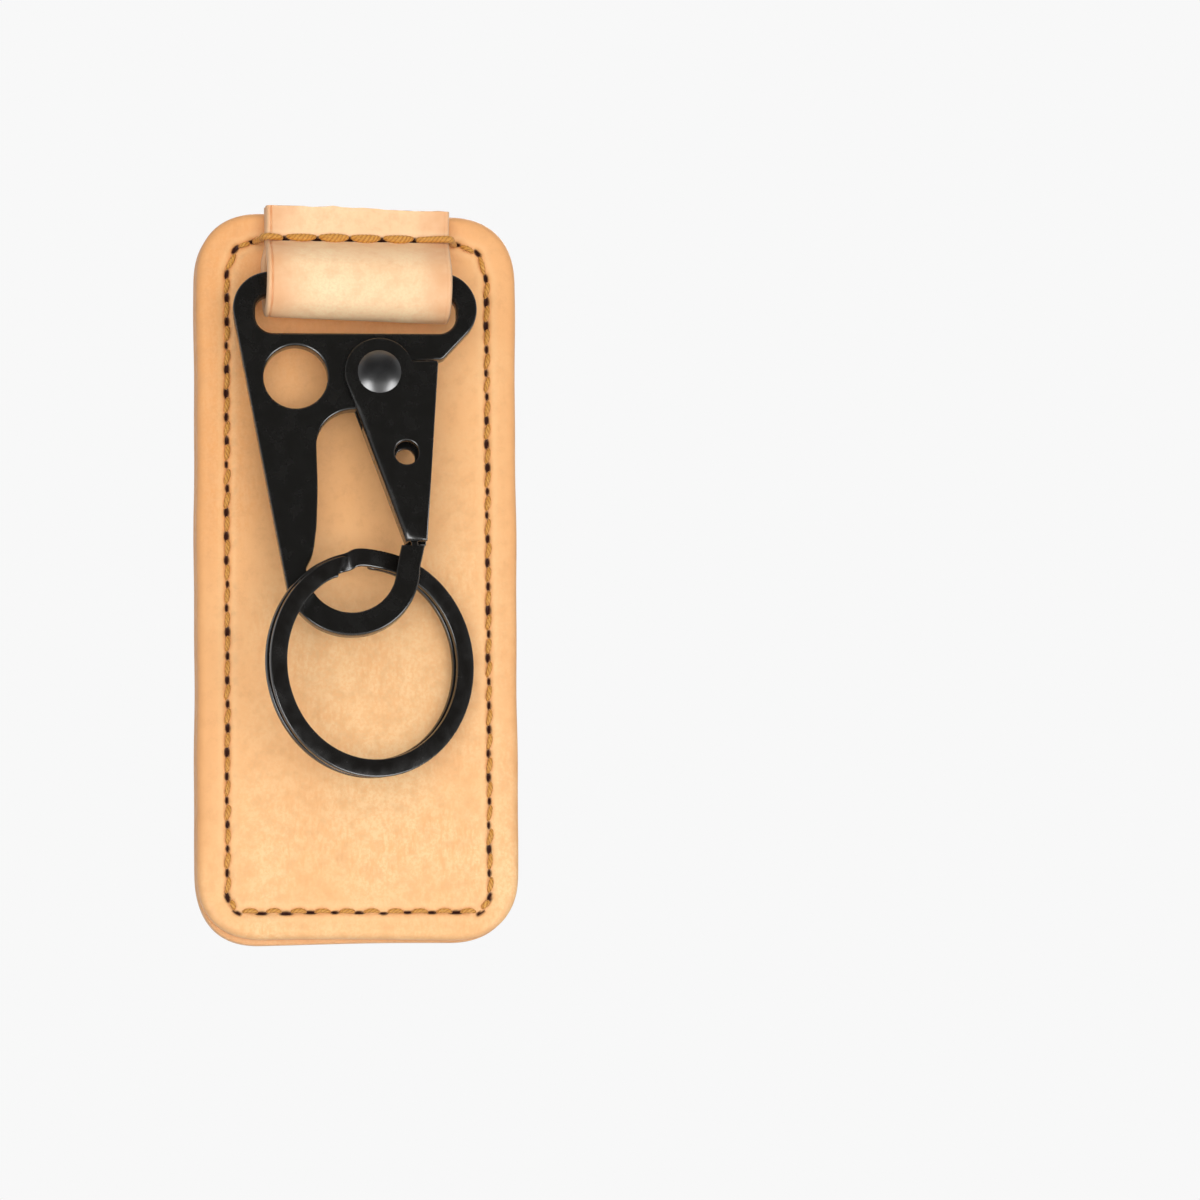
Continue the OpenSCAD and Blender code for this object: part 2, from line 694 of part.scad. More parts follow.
module clip_slot(w) {
    along_x(clip_shift - w / 2, w) children();
}

module belt_clip_base() color([0.10, 0.10, 0.11]) at_belt_seat() {
    bend = arc([bend_y, bend_z], bend_r + clip_t / 2, 0, 180, arc_steps);
    clip_slot(clip_w) polygon(sheet(concat([for (i = [0 : arc_steps - 1]) bend[i]], leg_path), clip_t));
}

module belt_clip_leaf() color([0.10, 0.10, 0.11]) at_belt_seat() {
    intersection() {
        clip_slot(clip_w) polygon(sheet(eased(leaf_path, leaf_bend_r, leaf_bend_steps), clip_t));
        upright(pad_back - overrun, leaf_y + overrun) leaf_plan();
    }
}

// Leaf seen from behind, with rounded corners at the lip
module leaf_plan() {
    low = clip_top - clip_l;
    half = clip_w / 2;
    translate([clip_shift - half, low + lip_corner_r]) square([clip_w, clip_l]);
    translate([clip_shift - half + lip_corner_r, low - overrun])
        square([clip_w - 2 * lip_corner_r, lip_corner_r + 2 * overrun]);
    for (s = [-1, 1])
        translate([clip_shift + s * (half - lip_corner_r), low + lip_corner_r])
            circle(r = lip_corner_r, $fn = round_fn);
}

front_panel();
back_panel();
top_thread();
bobbin_thread();
strap_anchor();
strap_loop();
hook_frame();
gate_lever();
gate_rivet();
gate_spring();
split_ring();
belt_clip_base();
belt_clip_leaf();
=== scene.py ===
"""Looks of the leather key holder clip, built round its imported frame."""
import logging
import math
import random
from dataclasses import dataclass, field
from enum import Enum
from typing import Optional, Sequence

import bmesh
import bpy
import numpy as np
from mathutils import Matrix, Vector
from mathutils.geometry import tessellate_polygon


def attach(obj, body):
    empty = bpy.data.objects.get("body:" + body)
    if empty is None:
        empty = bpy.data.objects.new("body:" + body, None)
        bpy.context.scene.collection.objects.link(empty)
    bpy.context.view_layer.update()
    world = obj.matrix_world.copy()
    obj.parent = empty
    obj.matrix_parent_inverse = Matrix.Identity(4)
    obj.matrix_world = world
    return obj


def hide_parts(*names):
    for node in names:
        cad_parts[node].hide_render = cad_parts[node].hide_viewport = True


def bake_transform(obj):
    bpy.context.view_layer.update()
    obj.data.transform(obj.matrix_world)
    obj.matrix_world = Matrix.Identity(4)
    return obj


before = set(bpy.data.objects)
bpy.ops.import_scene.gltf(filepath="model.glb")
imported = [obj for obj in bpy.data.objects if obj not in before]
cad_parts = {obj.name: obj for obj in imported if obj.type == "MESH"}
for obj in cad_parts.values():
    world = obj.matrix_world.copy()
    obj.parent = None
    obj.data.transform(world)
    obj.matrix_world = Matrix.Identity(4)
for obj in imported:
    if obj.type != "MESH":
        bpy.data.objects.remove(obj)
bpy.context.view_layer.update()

log = logging.getLogger("key_holder")

MM = 0.001
PAD_ORIGIN = np.array([-1.15, 9.4, 90.25])
PANEL_T = 3.3
PAD_BACK = 2 * PANEL_T
CROSSBAR = (0.0, -4.9, 87.1)

Colour = tuple[float, float, float]
Pair = tuple[float, float]
Loop = list[np.ndarray]


def srgb(red: int, green: int, blue: int) -> Colour:
    """Returns the linear colour of a screen colour with parts from 0 to 255."""
    parts = [c / 255 for c in (red, green, blue)]
    return tuple(c / 12.92 if c < 0.04045 else ((c + 0.055) / 1.055) ** 2.4 for c in parts)


def on_pad(points: np.ndarray) -> np.ndarray:
    """Returns points of the pad's own frame, in millimetres, as points in metres."""
    return (np.asarray(points, float) - PAD_ORIGIN) * MM


def smoothstep(x: np.ndarray) -> np.ndarray:
    """Returns the smooth step of x from 0 to 1."""
    t = np.clip(x, 0.0, 1.0)
    return t * t * (3 - 2 * t)


def bell(x: np.ndarray, reach: float) -> np.ndarray:
    """Returns the bell curve of x, which is 1 at zero and falls off over that reach."""
    return np.exp(-(x / reach) ** 2)


def walk(path: np.ndarray) -> np.ndarray:
    """Returns how far along a line each of its points lies."""
    return np.concatenate([[0], np.cumsum(np.linalg.norm(np.diff(path, axis=0), axis=1))])


def unit_rows(rows: np.ndarray) -> np.ndarray:
    """Returns vectors, one in each row, with a length of 1."""
    return rows / np.linalg.norm(rows, axis=1)[:, None]


def heading(path: np.ndarray) -> np.ndarray:
    """Returns the direction in which a line runs at each of its points."""
    return unit_rows(np.gradient(path, axis=0))


def arc(centre: Sequence[float], radius: float, start: float, end: float, count: int) -> Loop:
    """Points of an arc in a plane.

    Args:
        centre: middle of the arc.
        radius: its radius.
        start: first angle, in degrees.
        end: last angle, in degrees.
        count: number of steps.

    Returns:
        The points, with both ends.
    """
    angles = np.radians(np.linspace(start, end, count + 1))
    return [np.array([centre[0] + radius * math.cos(a), centre[1] + radius * math.sin(a)]) for a in angles]


def touch_angle(centre: np.ndarray, radius: float, point: np.ndarray, side: int) -> float:
    """Angle at which a line from a point touches a circle.

    Args:
        centre: middle of the circle.
        radius: its radius.
        point: the point outside it.
        side: 1 or -1, for one or the other touching line.

    Returns:
        The angle in degrees, seen from the centre.
    """
    d = point - centre
    return math.degrees(math.atan2(d[1], d[0]) + side * math.acos(radius / np.linalg.norm(d)))


def smooth_path(points: np.ndarray, spacing: float) -> np.ndarray:
    """Evenly spaced points of a smooth line through a few given ones.

    Args:
        points: the given points, one in each row.
        spacing: distance between the new points.

    Returns:
        The new points.
    """
    steps = 16
    padded = np.vstack([2 * points[0] - points[1], points, 2 * points[-1] - points[-2]])
    dense = []
    for i in range(1, len(padded) - 2):
        p0, p1, p2, p3 = padded[i - 1:i + 3]
        for t in np.linspace(0, 1, steps, endpoint=False):
            dense.append(0.5 * (2 * p1 + (p2 - p0) * t + (2 * p0 - 5 * p1 + 4 * p2 - p3) * t ** 2
                                + (3 * p1 - p0 - 3 * p2 + p3) * t ** 3))
    dense = np.array(dense + [points[-1]])
    lengths = walk(dense)
    even = np.linspace(0, lengths[-1], max(2, round(lengths[-1] / spacing) + 1))
    return np.column_stack([np.interp(even, lengths, dense[:, k]) for k in range(dense.shape[1])])


class MeshMaker:
    """Collects points, faces and point values, and makes one mesh piece of them."""

    def __init__(self) -> None:
        """Starts an empty mesh."""
        self.points: list[np.ndarray] = []
        self.faces: list[tuple[int, ...]] = []
        self.values: dict[str, list[np.ndarray]] = {}
        self.count = 0

    def add(self, points: np.ndarray, **values: np.ndarray) -> int:
        """Adds row points in metres.

        Args:
            points: the points, one in each row.
            values: one value for each point, under the name of a point attribute.

        Returns:
            The number of the first new point.
        """
        first = self.count
        self.points.append(np.asarray(points, float).reshape(-1, 3))
        for name, value in values.items():
            self.values.setdefault(name, []).append(np.asarray(value, float).reshape(-1))
        self.count += len(self.points[-1])
        return first

    def loft(self, rings: np.ndarray, closed: bool = True, caps: bool = True, **values: np.ndarray) -> None:
        """Adds a skin over rings with the same number of points.

        Args:
            rings: points by ring, place in the ring and coordinate.
            closed: whether each ring closes on itself.
            caps: whether both ends are filled.
            values: one value for each point, by attribute name.
        """
        count, size = rings.shape[:2]
        first = self.add(rings.reshape(-1, 3), **values)
        steps = size if closed else size - 1
        for i in range(count - 1):
            for k in range(steps):
                a, b = first + i * size + k, first + i * size + (k + 1) % size
                self.faces.append((a, b, b + size, a + size))
        if caps:
            last = first + (count - 1) * size
            self.faces.append(tuple(range(first + size - 1, first - 1, -1)))
            self.faces.append(tuple(range(last, last + size)))

    def build(self, name: str, merge: float = 0.0, smooth_angle: float = 40.0) -> bpy.types.Object:
        """Makes the piece.

        Args:
            name: the piece's name.
            merge: points nearer than this, in millimetres, become one.
            smooth_angle: edges sharper than this, in degrees, stay sharp.

        Returns:
            The new object, linked to the scene.
        """
        mesh = bpy.data.meshes.new(name)
        mesh.from_pydata(np.vstack(self.points).tolist(), [], self.faces)
        for attribute, parts in self.values.items():
            layer = mesh.attributes.new(attribute, "FLOAT", "POINT")
            layer.data.foreach_set("value", np.concatenate(parts).astype(np.float32))
        form = bmesh.new()
        form.from_mesh(mesh)
        if merge:
            bmesh.ops.remove_doubles(form, verts=form.verts, dist=merge * MM)
            bmesh.ops.dissolve_degenerate(form, edges=form.edges, dist=merge * MM)
        bmesh.ops.recalc_face_normals(form, faces=form.faces)
        form.to_mesh(mesh)
        form.free()
        mesh.shade_smooth()
        mesh.set_sharp_from_angle(angle=math.radians(smooth_angle))
        piece = bpy.data.objects.new(name, mesh)
        bpy.context.scene.collection.objects.link(piece)
        return piece


class NodeSheet:
    """A node tree, with short calls for the nodes that the finishes and the studio share."""

    def __init__(self, tree: bpy.types.NodeTree) -> None:
        """Takes the tree as it is."""
        self.tree = tree

    def node(self, kind: str, **settings: object) -> bpy.types.Node:
        """Returns a new node of that kind with those settings."""
        made = self.tree.nodes.new(kind)
        for key, value in settings.items():
            setattr(made, key, value)
        return made

    def put(self, value: object, socket: bpy.types.NodeSocket) -> None:
        """Links a socket to another, or sets a plain number or colour."""
        if isinstance(value, bpy.types.NodeSocket):
            self.tree.links.new(value, socket)
        elif isinstance(value, tuple) and len(value) == 3 and socket.type == "RGBA":
            socket.default_value = (*value, 1.0)
        else:
            socket.default_value = value

    def fill(self, made: bpy.types.Node, *values: object, **named: object) -> bpy.types.Node:
        """Puts values into a node's first sockets, and into the named ones with _ for a space."""
        for socket, value in zip(made.inputs, values):
            self.put(value, socket)
        for name, value in named.items():
            self.put(value, made.inputs[name.replace("_", " ")])
        return made

    def value(self, name: str, times: float = 1.0) -> bpy.types.NodeSocket:
        """Returns the point values that the mesh holds under that name, so many times."""
        held = self.node("ShaderNodeAttribute", attribute_name=name).outputs["Fac"]
        return held if times == 1.0 else self.maths("MULTIPLY", held, times)

    def maths(self, operation: str, a: object, b: object) -> bpy.types.NodeSocket:
        """Returns a product, a maximum or the like of two values."""
        return self.fill(self.node("ShaderNodeMath", operation=operation), a, b).outputs[0]

    def blend(self, share: object, a: bpy.types.Node, b: bpy.types.Node) -> bpy.types.NodeSocket:
        """Returns the mix of two shader nodes, with that share of the second one."""
        return self.fill(self.node("ShaderNodeMixShader"), share, a.outputs[0], b.outputs[0]).outputs[0]


class FinishSheet(NodeSheet):
    """One material's sheet, whose patterns are measured in millimetres."""

    def __init__(self, name: str) -> None:
        """Makes the material with its main shader."""
        self.material = bpy.data.materials.new(name)
        self.material.use_nodes = True
        super().__init__(self.material.node_tree)
        self.shader = self.tree.nodes["Principled BSDF"]
        object_place = self.node("ShaderNodeTexCoord").outputs["Object"]
        scale = self.node("ShaderNodeVectorMath", operation="SCALE")
        self.millimetres = self.fill(scale, object_place, Scale=1 / MM).outputs[0]

    def set(self, **values: object) -> None:
        """Sets the main shader's sockets, with _ for a space in the name."""
        self.fill(self.shader, **values)

    def noise(self, per_mm: float, detail: float = 3.0, stretch: Colour = (1, 1, 1),
              rough: float = 0.5) -> bpy.types.NodeSocket:
        """Cloudy pattern.

        Args:
            per_mm: how many clouds there are in a millimetre.
            detail: how many finer layers it has.
            stretch: multiplies the place along each axis.
            rough: how strong the finer layers are.

        Returns:
            The pattern, from 0 to 1.
        """
        place = self.millimetres
        if stretch != (1, 1, 1):
            times = self.node("ShaderNodeVectorMath", operation="MULTIPLY")
            place = self.fill(times, place, stretch).outputs[0]
        made = self.node("ShaderNodeTexNoise")
        return self.fill(made, place, Scale=per_mm, Detail=detail, Roughness=rough).outputs["Fac"]

    def cells(self, per_mm: float) -> bpy.types.NodeSocket:
        """Returns the distance pattern of small cells, so many in a millimetre."""
        made = self.node("ShaderNodeTexVoronoi")
        return self.fill(made, self.millimetres, Scale=per_mm).outputs["Distance"]

    def spread(self, value: object, low: float, high: float, to_low: float = 0.0,
               to_high: float = 1.0) -> bpy.types.NodeSocket:
        """Carries a range of values to another, without going past its ends.

        Args:
            value: the value.
            low: its low end.
            high: its high end.
            to_low: what the low end becomes.
            to_high: what the high end becomes.

        Returns:
            The new value.
        """
        made = self.node("ShaderNodeMapRange", interpolation_type="SMOOTHSTEP")
        return self.fill(made, value, low, high, to_low, to_high).outputs["Result"]

    def blotches(self, per_mm: float, low: float, high: float, to_low: float = 0.0,
                 to_high: float = 1.0, **noise: object) -> bpy.types.NodeSocket:
        """Cloudy pattern with firmer edges.

        Args:
            per_mm: how many clouds there are in a millimetre.
            low: value of the pattern where its change begins.
            high: value where it ends.
            to_low: what the low end becomes.
            to_high: what the high end becomes.
            noise: what else noise() is told.

        Returns:
            The new pattern.
        """
        return self.spread(self.noise(per_mm, **noise), low, high, to_low, to_high)

    def mix(self, share: object, a: object, b: object) -> bpy.types.NodeSocket:
        """Returns the mix of two colours, with that share of the second one."""
        made = self.node("ShaderNodeMix", data_type="RGBA")
        self.put(share, made.inputs["Factor"])
        for name, value in (("A_Color", a), ("B_Color", b)):
            self.put(value, next(s for s in made.inputs if s.identifier == name))
        return next(s for s in made.outputs if s.identifier == "Result_Color")

    def bump(self, height: bpy.types.NodeSocket, depth_mm: float,
             under: Optional[bpy.types.NodeSocket] = None) -> bpy.types.NodeSocket:
        """Relief from a pattern.

        Args:
            height: the pattern.
            depth_mm: how deep it is, in millimetres.
            under: relief that it lies on.

        Returns:
            The normal.
        """
        made = self.node("ShaderNodeBump")
        if under is not None:
            self.put(under, made.inputs["Normal"])
        return self.fill(made, Strength=1.0, Distance=depth_mm * MM, Height=height).outputs["Normal"]


@dataclass(frozen=True)
class LeatherFinish:
    """Natural leather with a smooth grain, darker at its rims, with painted shade in its needle holes and on
    the pad's top and left side.
    """

    pale: Colour
    tan: Colour
    rim: Colour
    # deep: painted shade towards the pad's top and left side, partly the leather's own darker tone there
    deep: Colour = srgb(237, 161, 89)
    groove: Colour = srgb(214, 140, 84)
    raw: Colour = srgb(214, 176, 140)
    dirt: Colour = srgb(200, 154, 110)
    # hole: painted shade in the needle holes and the clip's slit, where light doesn't reach
    hole: Colour = srgb(58, 24, 12)
    grain_mm: float = 0.018
    crease_mm: float = 0.05
    streaks: float = 0.9

    def material(self, name: str) -> bpy.types.Material:
        """Returns the leather as a material of that name."""
        sheet = FinishSheet(name)
        upright = (1.0, 1.0, 0.3)
        clouds = sheet.blotches(0.05, 0.34, 0.66, 0.0, 0.75)
        fibres = sheet.blotches(2.1, 0.42, 0.68, 0.0, self.streaks, detail=4.0, stretch=upright, rough=0.62)
        fibres = sheet.maths("MULTIPLY", fibres, sheet.blotches(0.11, 0.42, 0.60, 0.15, 1.0, detail=2.0))
        mottle = sheet.blotches(0.55, 0.42, 0.70, 0.0, 0.50, detail=5.0, rough=0.62)
        speckle = sheet.blotches(2.6, 0.42, 0.62, 0.0, 0.60, detail=4.0, rough=0.65)
        pores = sheet.spread(sheet.cells(2.4), 0.02, 0.12, 0.12, 0.0)
        rim = sheet.spread(sheet.value("rim"), 0.2, 1.0, 1.0, 0.0)
        rim = sheet.maths("MULTIPLY", rim, sheet.blotches(0.35, 0.3, 0.7, 0.60, 1.0, detail=2.0))
        smudges = sheet.maths("MULTIPLY", sheet.value("smudge"), sheet.blotches(0.8, 0.42, 0.62, 0.0, 0.5))
        colour = self.pale
        for share, layer in (
                # the deep layer is painted shade on the pad's top and left, partly the leather's own tone
                (clouds, self.tan), (sheet.value("warm", 0.8), self.deep), (fibres, self.tan),
                (mottle, self.rim), (speckle, self.tan), (pores, self.rim), (rim, self.rim),
                (sheet.value("raw", 0.75), self.raw), (sheet.value("crease", 0.8), self.groove),
                (sheet.value("halo", 0.35), self.pale), (smudges, self.dirt),
                # painted shade in the needle holes and the slit
                (sheet.value("pit"), self.hole)):
            colour = sheet.mix(share, colour, layer)
        sheet.set(Base_Color=colour, Specular_IOR_Level=0.30, Sheen_Weight=0.04, Sheen_Roughness=0.6)
        sheet.set(Roughness=sheet.blotches(0.8, 0.3, 0.7, 0.46, 0.58, detail=2.0))
        grain = sheet.mix(0.45, sheet.noise(4.2, 4.0, rough=0.6), sheet.cells(2.6))
        creases = sheet.bump(sheet.noise(0.55, 3.0, (1.0, 1.0, 0.35)), self.crease_mm)
        sheet.set(Normal=sheet.bump(grain, self.grain_mm, creases))
        return sheet.material


@dataclass(frozen=True)
class ThreadFinish:
    """Twisted waxed thread, with painted shade between its plies."""

    ply: Colour
    # crease: painted shade in the grooves between the plies
    crease: Colour
    stray: Colour
    fluff_mm: float = 0.03

    def material(self, name: str) -> bpy.types.Material:
        """Returns the thread as a material of that name."""
        sheet = FinishSheet(name)
        # the crease colour paints shade into the grooves between the plies
        colour = sheet.mix(sheet.spread(sheet.value("ply"), 0.15, 0.7), self.crease, self.ply)
        colour = sheet.mix(sheet.blotches(5.5, 0.5, 0.75, 0.0, 0.65), colour, self.stray)
        sheet.set(Base_Color=colour, Specular_IOR_Level=0.3, Sheen_Weight=0.12, Roughness=0.62)
        sheet.set(Normal=sheet.bump(sheet.noise(11.0), self.fluff_mm))
        return sheet.material


@dataclass(frozen=True)
class PaintFinish:
    """Black coated steel with a faint orange peel and lighter rubbed spots."""

    colour: Colour
    roughness: float
    specular: float
    peel_mm: float = 0.004
    dust: float = 0.25
    lacquer: float = 0.0
    rubbed: Colour = srgb(92, 88, 84)

    def material(self, name: str) -> bpy.types.Material:
        """Returns the coating as a material of that name."""
        sheet = FinishSheet(name)
        specks = sheet.blotches(3.2, 0.62, 0.78, 0.0, self.dust, detail=5.0, rough=0.65)
        clouds = sheet.blotches(0.5, 0.3, 0.7, self.roughness - 0.05, self.roughness + 0.06)
        sheet.set(Base_Color=sheet.mix(specks, self.colour, self.rubbed), Roughness=clouds)
        sheet.set(Specular_IOR_Level=self.specular, Coat_Weight=self.lacquer, Coat_Roughness=0.27)
        sheet.set(Normal=sheet.bump(sheet.noise(4.5), self.peel_mm))
        return sheet.material


@dataclass(frozen=True)
class SteelFinish:
    """Bare drawn wire."""

    colour: Colour = (0.5, 0.5, 0.52)
    draw_mm: float = 0.003

    def material(self, name: str) -> bpy.types.Material:
        """Returns the wire's steel as a material of that name."""
        sheet = FinishSheet(name)
        sheet.set(Base_Color=self.colour, Metallic=1.0)
        sheet.set(Roughness=sheet.blotches(6.0, 0.3, 0.7, 0.24, 0.36, detail=2.0))
        sheet.set(Normal=sheet.bump(sheet.noise(9.0, 2.0), self.draw_mm))
        return sheet.material


class Coat(Enum):
    """The finishes of this key holder, under the record's slot names."""

    PAD = "pad_leather"
    STRAP = "strap_leather"
    TOP_THREAD = "top_thread"
    BOBBIN = "bobbin_thread"
    HOOK = "hook_black"
    RIVET = "rivet_black"
    RING = "ring_black"
    CLIP = "clip_black"
    SPRING = "spring_steel"


FINISHES = {
    Coat.PAD: LeatherFinish(srgb(249, 206, 150), srgb(243, 182, 121), srgb(226, 164, 106)),
    Coat.STRAP: LeatherFinish(srgb(250, 221, 177), srgb(247, 203, 156), srgb(232, 176, 128), streaks=0.4),
    Coat.TOP_THREAD: ThreadFinish(srgb(208, 150, 66), srgb(180, 118, 46), srgb(230, 180, 100)),
    Coat.BOBBIN: ThreadFinish(srgb(232, 208, 170), srgb(160, 120, 78), srgb(214, 180, 134)),
    Coat.HOOK: PaintFinish(srgb(20, 19, 17), 0.24, 0.85, 0.003, 0.06),
    Coat.RIVET: PaintFinish(srgb(26, 26, 27), 0.34, 1.0, 0.001, 0.05, 0.9),
    Coat.RING: PaintFinish(srgb(20, 18, 16), 0.22, 0.85, 0.002, 0.06),
    Coat.CLIP: PaintFinish(srgb(20, 20, 20), 0.30, 0.45, 0.003, 0.08),
    Coat.SPRING: SteelFinish(),
}


class Wardrobe:
    """Makes each finish once and dresses pieces with it."""

    def __init__(self) -> None:
        """Starts with no material made."""
        self.made: dict[Coat, bpy.types.Material] = {}

    def dress(self, piece: bpy.types.Object, coat: Coat) -> bpy.types.Object:
        """Gives a piece its finish.

        Args:
            piece: the piece.
            coat: its finish.

        Returns:
            The same piece.
        """
        if coat not in self.made:
            self.made[coat] = FINISHES[coat].material(coat.value)
        piece.data.materials.clear()
        piece.data.materials.append(self.made[coat])
        log.info("%s: %d points, finish %s", piece.name, len(piece.data.vertices), coat.value)
        return piece


class Face(Enum):
    """The two sides of the pad."""

    FRONT = 1
    BACK = -1


@dataclass
class Seam:
    """The needle holes, in order round the pad, from the top left corner down."""

    pad_w: float = 43.0
    pad_h: float = 97.5
    inset: float = 4.0
    top_drop: float = 3.9
    pitch: float = 3.25
    top_pitch: float = 4.35
    row_shift: float = 1.35
    edge_hole_out: float = 1.35
    strap_left: float = -12.6
    strap_right: float = 12.1
    row_holes: int = 5
    side_drop_share: float = 1.15
    side_rise_share: float = 1.5
    low_in_share: float = 0.32
    corner_in_share: float = 0.3
    corner_drop_share: float = 0.28
    side_squeeze: Pair = (0.46, 1.0)
    low_squeeze: Pair = (0.40, 1.3)
    low_shift: float = 0.10
    hole_sizes: Pair = (0.8, 1.25)
    hole_sway: float = 0.08
    seed: int = 5

    def __post_init__(self) -> None:
        """Works out the holes, and how each one differs a little from the next."""
        x, top = self.pad_w / 2 - self.inset, self.pad_h - self.top_drop
        side_top, side_low = top - self.side_drop_share * self.top_drop, self.side_rise_share * self.inset
        bottom = x - self.low_in_share * self.inset
        corner = np.array([x - self.corner_in_share * self.top_drop,
                           top - self.corner_drop_share * self.top_drop])
        rows, across = round((side_top - side_low) / self.pitch), round(2 * bottom / self.pitch)
        left = [np.array([-x, z]) for z in np.linspace(side_top, side_low, rows + 1)]
        low = [np.array([k, self.inset]) for k in np.linspace(-bottom, bottom, across + 1)]
        right = [np.array([x, z]) for z in np.linspace(side_low, side_top, rows + 1)]
        start = (self.row_holes - 1) / 2 * self.top_pitch - self.row_shift
        row = [np.array([start - k * self.top_pitch, top]) for k in range(self.row_holes)]
        last = [np.array([self.strap_left - self.edge_hole_out, top]), corner * [-1, 1]]
        first = [corner, np.array([self.strap_right + self.edge_hole_out, top])]
        self.holes = np.array(left + low + right + first + row + last)
        self.top = top
        dice = random.Random(self.seed)
        self.sway = [(dice.uniform(*self.hole_sizes), dice.uniform(-self.hole_sway, self.hole_sway))
                     for _ in self.holes]

    def on_strap(self, hole: np.ndarray) -> bool:
        """Returns whether a hole is in the strap."""
        return hole[1] > self.top - 0.5 and self.strap_left < hole[0] < self.strap_right

    def line_distance(self, places: np.ndarray) -> np.ndarray:
        """Returns how far each place of the pad's plane is from the seam's line."""
        ends = np.roll(self.holes, -1, axis=0)
        best = np.full(len(places), 1e9)
        for a, b in zip(self.holes, ends):
            d = b - a
            t = np.clip(((places - a) @ d) / (d @ d), 0, 1)
            best = np.minimum(best, np.linalg.norm(places - a - t[:, None] * d, axis=1))
        return best

    def hole_reach(self, places: np.ndarray, face: Face) -> np.ndarray:
        """Distance to the nearest needle hole, in a stretched measure.

        Args:
            places: places in the pad's plane.
            face: the side of the pad that they are on.

        Returns:
            The distance, with lengths along the seam counted as shorter.
        """
        ends, starts = np.roll(self.holes, -1, axis=0), np.roll(self.holes, 1, axis=0)
        best = np.full(len(places), 1e9)
        for z, a, b, (size, sway) in zip(starts, self.holes, ends, self.sway):
            if face is Face.FRONT and self.on_strap(a):
                continue
            along = (b - z) / np.linalg.norm(b - z)
            low = abs(a[1] - self.inset) < 0.1
            off = places - a + [0.0, self.low_shift if low else 0.0]
            run = off @ along
            side = off @ np.array([-along[1], along[0]]) - sway
            squeeze = self.low_squeeze if low else self.side_squeeze
            best = np.minimum(best, np.hypot(run * squeeze[0], side * squeeze[1]) / size)
        return best


@dataclass(frozen=True)
class Dent:
    """A soft hollow, with its depth and its reach in millimetres."""

    depth: float
    reach: float

    def at(self, distance: np.ndarray) -> np.ndarray:
        """Returns how deep the leather lies at that distance from the hollow's middle."""
        return self.depth * bell(distance, self.reach)


